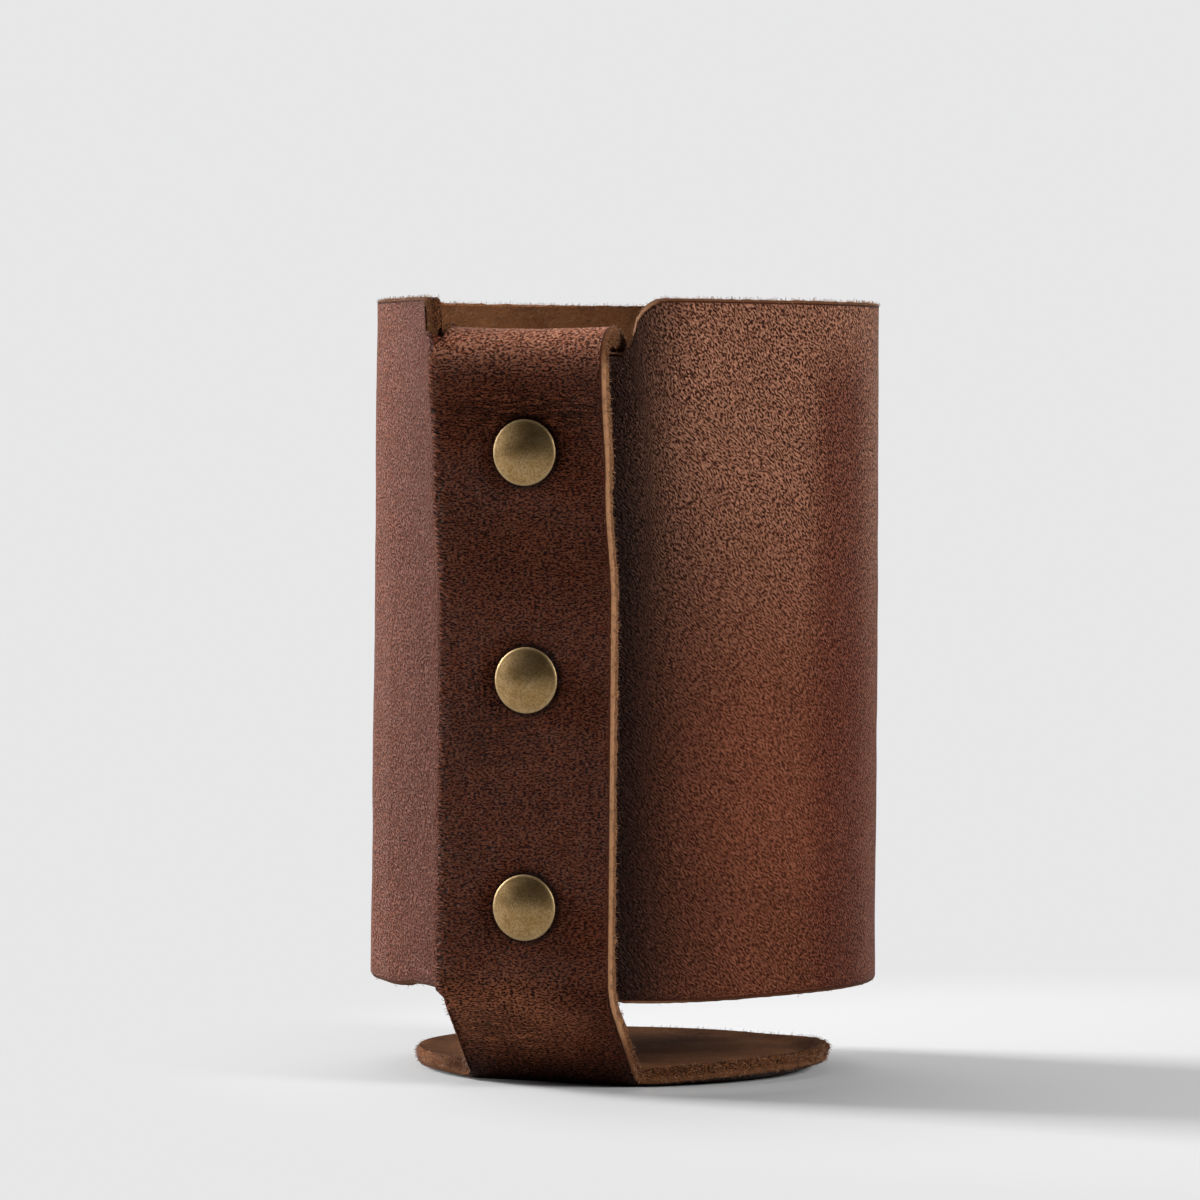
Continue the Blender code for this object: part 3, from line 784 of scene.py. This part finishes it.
# %% A material and its one method for any node
class Finish:
    """A material and its shader, with short names for the patterns that leather and brass need."""

    def __init__(self, name):
        self.material = bpy.data.materials.new(name)
        self.material.use_nodes = True
        self.tree = self.material.node_tree
        self.shader = self.tree.nodes["Principled BSDF"]

    def node(self, kind, settings, inputs, output=0):
        """Adds a node, sets it up, then fills its inputs with numbers, colours or other nodes' outputs."""
        made = self.tree.nodes.new(kind)
        for key, value in settings.items():
            setattr(made, key, value)
        for key, value in inputs.items():
            self.feed(made.inputs[key], value)
        return Value(self, made.outputs[output])

    def feed(self, socket, value):
        if isinstance(value, Value):
            self.tree.links.new(value.socket, socket)
        else:
            socket.default_value = value

    def blend(self, amount, first, second):
        return self.node("ShaderNodeMix", {"data_type": "RGBA"}, {0: amount, 6: first, 7: second}, 2)

    def stretched(self, vector, x, y, z=1.0):
        return self.node("ShaderNodeVectorMath", {"operation": "MULTIPLY"}, {0: vector, 1: (x, y, z)})

    def moved(self, vector, other):
        return self.node("ShaderNodeVectorMath", {"operation": "ADD"}, {0: vector, 1: other})

    def turned(self, vector, degrees):
        inputs = {"Vector": vector, "Rotation": (0, 0, math.radians(degrees))}
        return self.node("ShaderNodeMapping", {}, inputs)

    def cloud(self, vector, size, detail=2.0, roughness=0.5):
        """Soft noise, from about 0.25 to 0.75, whose patches are about one size across."""
        inputs = {"Vector": vector, "Scale": 1 / size, "Detail": detail, "Roughness": roughness}
        return self.node("ShaderNodeTexNoise", {}, inputs)

    def swirl(self, vector, size, reach):
        """The same vector pushed about by coloured noise, so that patterns don't look ruled."""
        inputs = {"Vector": vector, "Scale": 1 / size, "Detail": 2.0}
        colour = self.node("ShaderNodeTexNoise", {}, inputs, 1)
        middle = self.moved(colour, (-0.5, -0.5, -0.5))
        return self.moved(vector, self.stretched(middle, reach, reach, reach))

    def pebbles(self, vector, size):
        """Distance to the nearest of many scattered points. One less this makes low domes."""
        return self.node("ShaderNodeTexVoronoi", {}, {"Vector": vector, "Scale": 1 / size})

    def bump(self, height, depth):
        return self.node("ShaderNodeBump", {}, {"Height": height, "Distance": depth})

    def spot(self, u, v, centre, size, ragged):
        """One inside an ellipse on the flat piece, fading out at an edge that ragged noise frays."""
        x = (u - centre[0]) / size[0]
        y = (v - centre[1]) / size[1]
        away = (x * x + y * y) ** 0.5 + ragged
        return away.between(1.15, 0.35)

    def set(self, **sockets):
        names = {
            "colour": "Base Color",
            "roughness": "Roughness",
            "normal": "Normal",
            "metallic": "Metallic",
        }
        for key, value in sockets.items():
            self.feed(self.shader.inputs[names[key]], value)


# %% [markdown]
# ## The grain side
# Oiled pull-up leather is dark where the wax lies undisturbed and turns orange-brown where it was bent or
# rubbed. Its grain is short wrinkles under a millimetre long, which run down to the right on the body and
# level on the strip. One height serves twice: as relief, and for the colour, which puts dark wax and painted
# shade in the valleys and a painted highlight on the ridges. Painted light and shade also lie on the upper
# right, the crest, the strap's bend, round the rivets and beside the strip. All of it is drawn on the flat
# piece, in millimetres.

# %% Coordinates on the flat piece
grain = Finish("leather_grain")
flat_uv = grain.node("ShaderNodeUVMap", {"uv_map": "flat"}, {})
flat_mm = grain.stretched(flat_uv, 1000, 1000, 0)
u = grain.node("ShaderNodeSeparateXYZ", {}, {0: flat_mm}, 0)
v = grain.node("ShaderNodeSeparateXYZ", {}, {0: flat_mm}, 1)
object_place = grain.node("ShaderNodeTexCoord", {}, {}, 3)
across = grain.node("ShaderNodeSeparateXYZ", {}, {0: object_place}, 0)
depth = grain.node("ShaderNodeSeparateXYZ", {}, {0: object_place}, 1)
around = across.maths("ARCTAN2", across, 0 - depth) * (180 / math.pi)
crease_u = -HALF_STRIP / MM
on_strip = u.between(crease_u - 0.05, crease_u + 0.01)
on_left = around.between(-15, -24) * (1 - on_strip)
on_right = around.between(15, 24) * around.between(150, 110) * (1 - on_strip)


# %% Height of the grain
def wrinkled(place):
    """Short wrinkles over low domes, drawn in coordinates that are already stretched."""
    wrinkles = grain.cloud(place, 0.36, 1.0).between(0.32, 0.56)
    domes = 1 - grain.pebbles(place, 0.42) * 1.3
    return wrinkles * 0.50 + domes * 0.26


stirred = grain.swirl(flat_mm, 2.4, 0.6)
body_height = wrinkled(grain.stretched(grain.turned(stirred, 42), 0.70, 1.75))
left_height = wrinkled(grain.stretched(grain.turned(stirred, 20), 0.55, 1.35))
strip_height = wrinkled(grain.stretched(grain.swirl(flat_mm, 1.8, 0.5), 0.8, 1.7))
height = body_height * (1 - on_strip) * (1 - on_left) + left_height * on_left + strip_height * on_strip
height = height + grain.cloud(flat_mm, 1.1, 2.0) * 0.24

# %% Creases across the strip
rows_of_creases = grain.stretched(grain.swirl(flat_mm, 4.0, 1.2), 0.16, 1.35)
crease = abs(grain.cloud(rows_of_creases, 1.0, 2.0) - 0.5).between(0.08, 0.0)
ragged = (grain.cloud(flat_mm, 6.0, 3.0) - 0.5) * 1.1
above_top_rivet = grain.spot(u, v, (0.0, 92.6), (15.0, 4.2), ragged)
below_middle_rivet = grain.spot(u, v, (-3.0, 47.5), (8.0, 4.0), ragged)
at_bend = grain.spot(u, v, (-5.0, 5.5), (10.0, 6.5), ragged)
creased = crease * above_top_rivet.highest(below_middle_rivet * 0.7).highest(at_bend * 0.6) * on_strip

# %% Dyes of the grain side, with a painted sheen on the upper right
DARK = srgb(84, 30, 5)
# The darkest brown: dark wax and painted shade in the valleys, painted shade everywhere else it is used.
SHADE_AND_WAX = srgb(16, 7, 4)
MIDDLE = srgb(98, 49, 29)
# The colour of the painted highlights on the grain's ridges.
RIDGE_HIGHLIGHT = srgb(190, 140, 112)
RUST = srgb(122, 60, 32)
RED = srgb(80, 27, 10)

broad = grain.cloud(flat_mm, 26.0, 3.0)
patchy = grain.cloud(grain.swirl(flat_mm, 9.0, 5.0), 7.0, 4.0, 0.6)
body = grain.blend(broad.between(0.35, 0.65), MIDDLE, srgb(108, 56, 37))
# Painted sheen: the upper right of the body is painted lighter and greyer, where light glances off it.
upper_right_sheen = v.between(45, 92) * on_right
body = grain.blend(upper_right_sheen * 0.6, body, srgb(112, 70, 53))
low_right = v.between(70, 24)
body = grain.blend(low_right * patchy.between(0.40, 0.66) * 0.14, body, RUST)
band = around.between(60, 74) * around.between(98, 82) * v.between(106, 94)
body = grain.blend(band * 0.85, body, RED)
strip = grain.blend(patchy.between(0.38, 0.66), DARK, srgb(95, 36, 8))
strip = grain.blend(above_top_rivet * 0.4, strip, RUST)
colour = grain.blend(on_strip, body, strip)

# %% Rubbed and bent places, with painted light on the crest and at the strap's bend
rubbed = grain.spot(u, v, (1.0, 76.0), (7.5, 5.0), ragged)
rubbed = rubbed.highest(grain.spot(u, v, (-1.0, 46.0), (8.0, 6.0), ragged))
rubbed = rubbed.highest(grain.spot(u, v, (3.0, 33.0), (6.0, 4.0), ragged) * 0.6)
rubbed = rubbed.highest(grain.spot(u, v, (-4.0, 7.0), (9.0, 7.0), ragged) * 0.8)
colour = grain.blend(rubbed * patchy.between(0.30, 0.66) * 0.30 * on_strip, colour, RUST)
# The fold's crest is lighter where the pull-up leather is bent over it, and carries a painted highlight as
# well.
crest_wear_and_highlight = v.between(96.5, 102.0) * on_strip
colour = grain.blend(crest_wear_and_highlight * 0.65, colour, srgb(164, 86, 52))
# Where the strap bends near the floor it is lighter: pull-up wear, and painted light on top of it.
bend_wear_and_light = grain.spot(u, v, (-4.0, 9.0), (13.0, 9.0), ragged) * on_strip
colour = grain.blend(bend_wear_and_light * 0.7, colour, srgb(158, 92, 60))

# %% Dark valleys and light ridges: dark wax and painted shade below, painted highlights on top, painted shade left of the crease
tone = height.between(0.20, 0.85)
# Painted highlights: the ridges are painted light, most in the upper right sheen and on the crest.
highlight_amount = 0.10 + upper_right_sheen * 0.28 * (1 - band * 0.8) + crest_wear_and_highlight * 0.4 + on_strip * 0.04
colour = grain.blend(tone.between(0.45, 1.0) * highlight_amount, colour, RIDGE_HIGHLIGHT)
# The valleys are darkened: dark wax, and painted shade as well.
valley_wax_and_shade = 0.64 + upper_right_sheen * 0.14 + on_strip * 0.24 - crest_wear_and_highlight * 0.1 - on_left * 0.2
colour = grain.blend(tone.between(0.60, 0.05) * valley_wax_and_shade, colour, SHADE_AND_WAX)
# The left body is a little darker all over, and painted shade deepens from its far edge towards the crease.
shade_left_of_crease = u.between(-44, -14) * (1 - on_strip)
colour = grain.blend(on_left * 0.20 + shade_left_of_crease * 0.5, colour, srgb(70, 24, 5))

# %% Painted shade round the rivets, at the floor, in the strip's creases and beside the strip
# Painted shadow: a dark ring round each rivet cap.
for x, z in RIVETS.values():
    beside = ((u - x / MM) ** 2 + (v - z / MM) ** 2) ** 0.5
    colour = grain.blend(beside.between(5.5, 4.6) * 0.75, colour, SHADE_AND_WAX)
# Painted shade where the strip runs down to the floor.
shade_at_floor = v.between(5, -3) * on_strip
colour = grain.blend(shade_at_floor * 0.8, colour, SHADE_AND_WAX)
# Painted shade in the creases across the strip.
colour = grain.blend(creased * 0.5, colour, SHADE_AND_WAX)
# Painted shade: near black on the body right beside the strip's edge.
shade_beside_strip = around.between(37, 19) * around.between(10, 16) * (1 - on_strip)
colour = grain.blend(shade_beside_strip * 0.84, colour, srgb(12, 5, 3))
# Painted shade: a wider, milder band beside the strip; the right body is also a little darker towards the
# bottom.
wider_shade_beside_strip = around.between(52, 30) * around.between(10, 16) * v.between(94, 74) * (1 - on_strip)
colour = grain.blend(wider_shade_beside_strip * 0.3 + v.between(40, 20) * on_right * 0.1, colour, SHADE_AND_WAX)

# %% Gloss and relief of the grain side
worn = grain.cloud(flat_mm, 3.0, 3.0).between(0.35, 0.7)
relief_height = height - creased * 1.4
grain.set(
    colour=colour,
    roughness=0.58 - tone * 0.12 + worn * 0.06,
    normal=grain.bump(relief_height, 0.00085),
)
grain.shader.inputs["Specular IOR Level"].default_value = 0.06
print("grain nodes:", len(grain.tree.nodes))

# %% [markdown]
# ## The flesh side and the cut edge
# The back of leather is suede: matt, hazy, with short loose fibres. The cut edge shows the hide's layers, a
# smooth light band next to the grain and a darker, stringy core.

# %% Flesh side
flesh = Finish("leather_flesh")
flesh_uv = flesh.stretched(flesh.node("ShaderNodeUVMap", {"uv_map": "flat"}, {}), 1000, 1000, 0)
nap = flesh.cloud(flesh.swirl(flesh_uv, 2.0, 1.4), 0.45, 5.0, 0.7)
haze = flesh.cloud(flesh_uv, 9.0, 3.0)
strands = flesh.stretched(flesh.turned(flesh.swirl(flesh_uv, 3.0, 2.0), 25), 0.3, 2.6)
strand = abs(flesh.cloud(strands, 1.0, 3.0) - 0.5).between(0.05, 0.0)
suede = flesh.blend(haze.between(0.3, 0.7), srgb(84, 51, 31), srgb(108, 69, 43))
suede = flesh.blend(nap.between(0.52, 0.34) * 0.6, suede, srgb(56, 33, 21))
suede = flesh.blend(strand * 0.18, suede, srgb(176, 134, 98))
flesh.set(
    colour=suede,
    roughness=0.86 + nap * 0.1,
    normal=flesh.bump(nap + strand * 0.4, 0.00022),
)
flesh.shader.inputs["Specular IOR Level"].default_value = 0.04

# %% Cut edge
edge = Finish("leather_edge")
edge_uv = edge.stretched(edge.node("ShaderNodeUVMap", {"uv_map": "flat"}, {}), 1000, 1000, 0)
level = edge.node("ShaderNodeSeparateXYZ", {}, {0: edge_uv}, 1)
stringy = edge.stretched(edge.swirl(edge_uv, 0.5, 0.5), 1.0, 1.9)
string = edge.cloud(stringy, 0.36, 4.0, 0.65)
lumps = edge.cloud(edge.swirl(edge_uv, 1.0, 0.8), 1.1, 3.0)
clean = edge.node("ShaderNodeAttribute", {"attribute_name": "pale"}, {}, 2)
speckle = string.between(0.41, 0.59)
edge_place = edge.node("ShaderNodeTexCoord", {}, {}, 3)
left_rim = edge.node("ShaderNodeSeparateXYZ", {}, {0: edge_place}, 0).between(-12 * MM, -26 * MM)
clean_core = edge.blend(speckle, srgb(66, 42, 25), srgb(140, 98, 66))
dirty_core = edge.blend(speckle, srgb(14, 7, 4), srgb(98, 58, 32))
left_core = edge.blend(speckle, srgb(92, 54, 32), srgb(168, 112, 74))
dirty_core = edge.blend(left_rim * 0.7, dirty_core, left_core)
core = edge.blend(clean, dirty_core, clean_core)
front = edge.blend(clean, srgb(92, 58, 36), srgb(152, 110, 78))
front_band = (level + (lumps - 0.5) * 0.8).between(0.1, 0.6)
cut = edge.blend(front_band, core, front)
cut = edge.blend(lumps.between(0.5, 0.3) * 0.4, cut, srgb(40, 25, 16))
edge.set(
    colour=cut,
    roughness=0.8 + string * 0.1,
    normal=edge.bump(string + lumps * 0.6, 0.0003),
)
edge.shader.inputs["Specular IOR Level"].default_value = 0.06

for finish in (grain, flesh, edge):
    leather_mesh.materials.append(finish.material)

# %% [markdown]
# ## Loose fibres
# Along the cut edge, single fibres stand out and catch the light. They are hundreds of small things that
# follow a surface, which is what Geometry Nodes are for: scatter points on the edge's faces, put one short
# bent fibre on each, and realise them into one mesh.

# %% Scatter fibres with Geometry Nodes
FIBRE_LENGTH = 0.42 * MM
FIBRE_THICKNESS = 0.024 * MM
FIBRES_PER_AREA = 7e6
FIBRE_SEED = 7


def socket_input(tree, name, kind, value):
    item = tree.interface.new_socket(name, in_out="INPUT", socket_type=kind)
    if value is not None:
        item.default_value = value
    return item


def fibre_tree(selected, made_of):
    tree = bpy.data.node_groups.new("edge_fibres", "GeometryNodeTree")
    socket_input(tree, "Geometry", "NodeSocketGeometry", None)
    socket_input(tree, "Length", "NodeSocketFloat", FIBRE_LENGTH)
    socket_input(tree, "Thickness", "NodeSocketFloat", FIBRE_THICKNESS)
    socket_input(tree, "Density", "NodeSocketFloat", FIBRES_PER_AREA)
    socket_input(tree, "Seed", "NodeSocketInt", FIBRE_SEED)
    tree.interface.new_socket("Geometry", in_out="OUTPUT", socket_type="NodeSocketGeometry")
    nodes = tree.nodes

    def add(kind, links=None, **settings):
        made = nodes.new(kind)
        for key, value in settings.items():
            setattr(made, key, value)
        for key, value in (links or {}).items():
            if isinstance(value, bpy.types.NodeSocket):
                tree.links.new(value, made.inputs[key])
            else:
                made.inputs[key].default_value = value
        return made

    group = add("NodeGroupInput").outputs
    chosen = add("GeometryNodeMaterialSelection", {"Material": selected}).outputs[0]
    fuzzy = add("GeometryNodeInputNamedAttribute", {"Name": "fuzz"}, data_type="FLOAT").outputs[0]
    density = add("ShaderNodeMath", {0: fuzzy, 1: group["Density"]}, operation="MULTIPLY").outputs[0]
    scatter = add(
        "GeometryNodeDistributePointsOnFaces",
        {"Mesh": group["Geometry"], "Selection": chosen, "Density": density, "Seed": group["Seed"]},
    )
    bend = add("ShaderNodeCombineXYZ", {0: 0.25, 1: 0.0, 2: 0.45}).outputs[0]
    tip = add("ShaderNodeCombineXYZ", {0: 0.65, 1: 0.0, 2: 0.75}).outputs[0]
    sized = []
    for point in (bend, tip):
        scaled = add("ShaderNodeVectorMath", {0: point, "Scale": group["Length"]}, operation="SCALE")
        sized.append(scaled.outputs[0])
    curve = add("GeometryNodeCurveQuadraticBezier", {"Resolution": 3, "Middle": sized[0], "End": sized[1]})
    curve.inputs["Start"].default_value = (0, 0, 0)
    along = add("GeometryNodeSplineParameter").outputs["Factor"]
    narrow = add("ShaderNodeMath", {0: 1.1, 1: along}, operation="SUBTRACT").outputs[0]
    tapered = add("GeometryNodeSetCurveRadius", {"Curve": curve.outputs[0], "Radius": narrow})
    ring = add("GeometryNodeCurvePrimitiveCircle", {"Resolution": 3, "Radius": group["Thickness"]})
    strand = add(
        "GeometryNodeCurveToMesh",
        {"Curve": tapered.outputs[0], "Profile Curve": ring.outputs[0], "Fill Caps": True},
    )
    lean = add("FunctionNodeRandomValue", {"Seed": group["Seed"]}, data_type="FLOAT_VECTOR")
    lean.inputs[0].default_value = (-0.9, -0.9, -math.pi)
    lean.inputs[1].default_value = (0.9, 0.9, math.pi)
    turn = add(
        "FunctionNodeRotateRotation",
        {0: scatter.outputs["Rotation"], 1: lean.outputs[0]},
        rotation_space="LOCAL",
    )
    size = add("FunctionNodeRandomValue", {"Seed": group["Seed"]}, data_type="FLOAT")
    size.inputs[2].default_value = 0.35
    size.inputs[3].default_value = 1.35
    placed = add(
        "GeometryNodeInstanceOnPoints",
        {
            "Points": scatter.outputs["Points"],
            "Instance": strand.outputs[0],
            "Rotation": turn.outputs[0],
            "Scale": size.outputs[1],
        },
    )
    real = add("GeometryNodeRealizeInstances", {0: placed.outputs[0]})
    coloured = add("GeometryNodeSetMaterial", {"Geometry": real.outputs[0], "Material": made_of})
    tree.links.new(coloured.outputs[0], add("NodeGroupOutput").inputs[0])
    return tree


fibre = Finish("leather_fibre")
fibre_place = fibre.node("ShaderNodeTexCoord", {}, {}, 3)
tint = fibre.cloud(fibre_place, 0.0012, 2.0)
fibre.set(colour=fibre.blend(tint.between(0.35, 0.65), srgb(84, 53, 32), srgb(150, 108, 76)), roughness=0.7)

host = bpy.data.objects.new("fibre_host", leather_mesh)
bpy.context.scene.collection.objects.link(host)
modifier = host.modifiers.new("fibres", "NODES")
modifier.node_group = fibre_tree(edge.material, fibre.material)
for item in modifier.node_group.interface.items_tree:
    if item.item_type == "SOCKET" and item.in_out == "INPUT" and item.name != "Geometry":
        modifier[item.identifier] = item.default_value
evaluated = host.evaluated_get(bpy.context.evaluated_depsgraph_get())
fibre_mesh = bpy.data.meshes.new_from_object(evaluated)
host.modifiers.remove(modifier)
bpy.data.objects.remove(host)
fibres = bpy.data.objects.new("edge_fibres", fibre_mesh)
bpy.context.scene.collection.objects.link(fibres)
fibre_mesh.materials.clear()
fibre_mesh.materials.append(fibre.material)
print("fibre faces:", len(fibre_mesh.polygons))

# %% [markdown]
# ## Rivets
# Each double-cap rivet is a low dome with a rolled rim outside, and a flatter one inside the bay. Turned
# parts are a profile spun about an axis, and Blender's Spin does exactly that. The finish is antique brass:
# patchy, lighter at the rolled rim, with fine dark specks all over.


# %% Turn a cap from its profile
CAP_SEGMENTS = 72


def spun(name, profile):
    """A closed profile of (radius, height), from the axis out and back, spun about its own +Z."""
    mesh = bmesh.new()
    points = [mesh.verts.new((radius, 0.0, rise)) for radius, rise in profile]
    edges = [mesh.edges.new(pair) for pair in zip(points, points[1:])]
    bmesh.ops.spin(
        mesh,
        geom=points + edges,
        cent=(0, 0, 0),
        axis=(0, 0, 1),
        angle=2 * math.pi,
        steps=CAP_SEGMENTS,
        use_merge=True,
    )
    bmesh.ops.remove_doubles(mesh, verts=mesh.verts, dist=1e-6)
    bmesh.ops.recalc_face_normals(mesh, faces=mesh.faces)
    ring = mesh.verts.layers.float.new("ring")
    for vertex in mesh.verts:
        vertex[ring] = math.hypot(vertex.co.x, vertex.co.y) / CAP_RADIUS
    made = bpy.data.meshes.new(name)
    mesh.to_mesh(made)
    mesh.free()
    made.shade_smooth()
    return made


def cap_profile(radius, dome, rim, pin_radius, pin):
    """A low dome that meets a small rolled rim, a flat underside and a pin."""
    ball = (radius**2 + dome**2) / (2 * dome)
    points = []
    for share in [0] + steps(0, 0.93, 14):
        across = radius * share
        points.append((across, rim + dome - ball + math.sqrt(ball**2 - across**2)))
    last_radius, last_rise = points[-1]
    for degrees in steps(20, 180, 7):
        a = math.radians(degrees)
        roll_radius = (radius - last_radius) * 0.5
        centre = (radius - roll_radius, last_rise * 0.5)
        points.append((centre[0] + roll_radius * math.sin(a), centre[1] + last_rise * 0.5 * math.cos(a)))
    points += [(radius * 0.8, 0.0), (pin_radius, 0.0), (pin_radius, -pin), (0.0, -pin)]
    return points


# %% Antique brass
brass = Finish("antique_brass")
ring = brass.node("ShaderNodeAttribute", {"attribute_name": "ring"}, {}, 2)
brass_place = brass.node("ShaderNodeTexCoord", {}, {}, 3)
tarnish = brass.cloud(brass.swirl(brass_place, 0.004, 0.002), 0.0022, 4.0, 0.6)
speck = brass.cloud(brass_place, 0.00026, 2.0, 0.6)
metal = brass.blend(tarnish.between(0.30, 0.70), srgb(146, 116, 72), srgb(164, 136, 94))
metal = brass.blend(speck.between(0.46, 0.60) * 0.5, metal, srgb(92, 70, 42))
metal = brass.blend(ring.between(0.88, 0.97) * 0.35, metal, srgb(178, 156, 120))
brass.set(
    colour=metal,
    metallic=0.92 - speck.between(0.56, 0.70) * 0.3,
    roughness=0.24 + tarnish * 0.14 + ring.between(0.90, 0.99) * 0.25,
    normal=brass.bump(speck, 0.00002),
)

# %% Place the rivets
CAP_SINK = 0.12 * MM
PIN_RADIUS = 0.8 * MM

faces_out = Matrix.Rotation(math.pi / 2, 4, "X")
faces_in = Matrix.Rotation(-math.pi / 2, 4, "X")
rivet_pieces = []
for name, (x, z) in RIVETS.items():
    face = strip_distance(0.0, z) + HALF_LEATHER
    wall = bay_radius(z)
    cap = spun("cap", cap_profile(CAP_RADIUS, CAP_DOME, CAP_RIM, PIN_RADIUS, LEATHER))
    cap.transform(Matrix.Translation((x, -(face + PIECE_GAP - CAP_SINK), z)) @ faces_out)
    back = spun("back", cap_profile(BACK_RADIUS, BACK_DOME, BACK_RIM, PIN_RADIUS, LEATHER))
    back.transform(Matrix.Translation((x, -(wall - BACK_RIM * 0.2), z)) @ faces_in)
    for kind, mesh in (("cap", cap), ("post", back)):
        mesh.materials.append(brass.material)
        piece = bpy.data.objects.new(f"brass_{kind}_{name}", mesh)
        bpy.context.scene.collection.objects.link(piece)
        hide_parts(f"rivet_{kind}_{name}")
        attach(piece, "root")
        rivet_pieces.append(piece)
print("rivet pieces:", [piece.name for piece in rivet_pieces])

# %% The leather takes its node's place
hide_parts("leather_sleeve")
for piece in (leather, fibres):
    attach(piece, "root")

# %% [markdown]
# ## Floor and light
# The photograph has an even, pale grey ground that runs into a pale grey wall, with a long soft shadow to
# the right. So the floor shows its true light and shadow near the sleeve, and blends into the wall's plain
# colour further off. The key light stands on the left, a little behind; a broad soft light fills from the
# right, and the sky is darker overhead, which gives the brass its dark upper half.

# %% Floor
FLOOR_SIZE = 6.0
PALE = srgb(231, 231, 232)
FLOOR_NEAR = 0.10
FLOOR_FAR = 0.165
LIT_CENTRE = 0.09

corners = [(-1, -1), (1, -1), (1, 1), (-1, 1)]
floor_points = [(x * FLOOR_SIZE / 2, y * FLOOR_SIZE / 2, 0.0) for x, y in corners]
floor_mesh = bpy.data.meshes.new("floor")
floor_mesh.from_pydata(floor_points, [], [(0, 1, 2, 3)])
floor = bpy.data.objects.new("floor", floor_mesh)
bpy.context.scene.collection.objects.link(floor)
ground = Finish("pale_ground")
place = ground.node("ShaderNodeTexCoord", {}, {}, 3)
paper = ground.cloud(place, 0.3, 2.0)
paper_colour = ground.blend(paper.between(0.2, 0.8), srgb(171, 171, 172), srgb(174, 174, 174))
ground.set(colour=paper_colour, roughness=0.9)
centre = (-math.cos(CAMERA_AZIMUTH) * LIT_CENTRE, -math.sin(CAMERA_AZIMUTH) * LIT_CENTRE, 0)
away = ground.node("ShaderNodeVectorMath", {"operation": "LENGTH"}, {0: ground.moved(place, centre)}, 1)
camera_ray = ground.node("ShaderNodeLightPath", {}, {}, 0)
plain = ground.node("ShaderNodeEmission", {}, {"Color": PALE, "Strength": 1.0})
lit = Value(ground, ground.shader.outputs[0])
blended = ground.node(
    "ShaderNodeMixShader",
    {},
    {0: away.between(FLOOR_NEAR, FLOOR_FAR) * camera_ray, 1: lit, 2: plain},
)
ground.tree.links.new(blended.socket, ground.tree.nodes["Material Output"].inputs[0])
floor_mesh.materials.append(ground.material)


# %% Lights
def area_light(name, place, size, watts):
    data = bpy.data.lights.new(name, "AREA")
    data.energy = watts
    data.size = size
    light = bpy.data.objects.new(name, data)
    bpy.context.scene.collection.objects.link(light)
    light.location = place
    aim = Vector((0, 0, 0.05)) - Vector(place)
    light.rotation_euler = aim.to_track_quat("-Z", "Y").to_euler()
    return light


def beside_camera(degrees, distance, rise):
    """A place at an angle to the right of the camera's direction, as seen from above."""
    a = CAMERA_AZIMUTH + math.radians(degrees)
    return (math.sin(a) * distance, -math.cos(a) * distance, rise)


area_light("key", beside_camera(-110, 0.9, 0.40), 0.30, 22.0)
area_light("fill", beside_camera(63, 1.3, 0.60), 0.40, 27.0)
area_light("top", beside_camera(180, 0.45, 1.0), 0.60, 3.4)

# %% Sky
BRIGHT = 0.90
DIM = 0.03
BRIGHT_DEG = -150

world = bpy.data.worlds.new("sky")
world.use_nodes = True
sky_tree = world.node_tree
direction = sky_tree.nodes.new("ShaderNodeTexCoord")
facing = sky_tree.nodes.new("ShaderNodeVectorMath")
glow = sky_tree.nodes.new("ShaderNodeMapRange")
seen = sky_tree.nodes.new("ShaderNodeLightPath")
choose = sky_tree.nodes.new("ShaderNodeMix")
backdrop = sky_tree.nodes["Background"]
facing.operation = "DOT_PRODUCT"
facing.inputs[1].default_value = beside_camera(BRIGHT_DEG, 1.0, 0.0)
glow.interpolation_type = "SMOOTHSTEP"
glow.inputs[1].default_value = -0.2
glow.inputs[2].default_value = 0.6
glow.inputs[3].default_value = DIM
glow.inputs[4].default_value = BRIGHT
choose.data_type = "RGBA"
choose.inputs[7].default_value = PALE
sky_tree.links.new(direction.outputs["Generated"], facing.inputs[0])
sky_tree.links.new(facing.outputs["Value"], glow.inputs[0])
sky_tree.links.new(glow.outputs[0], choose.inputs[6])
sky_tree.links.new(seen.outputs["Is Camera Ray"], choose.inputs[0])
sky_tree.links.new(choose.outputs[2], backdrop.inputs[0])
bpy.context.scene.world = world
bpy.context.scene.view_settings.view_transform = "Standard"
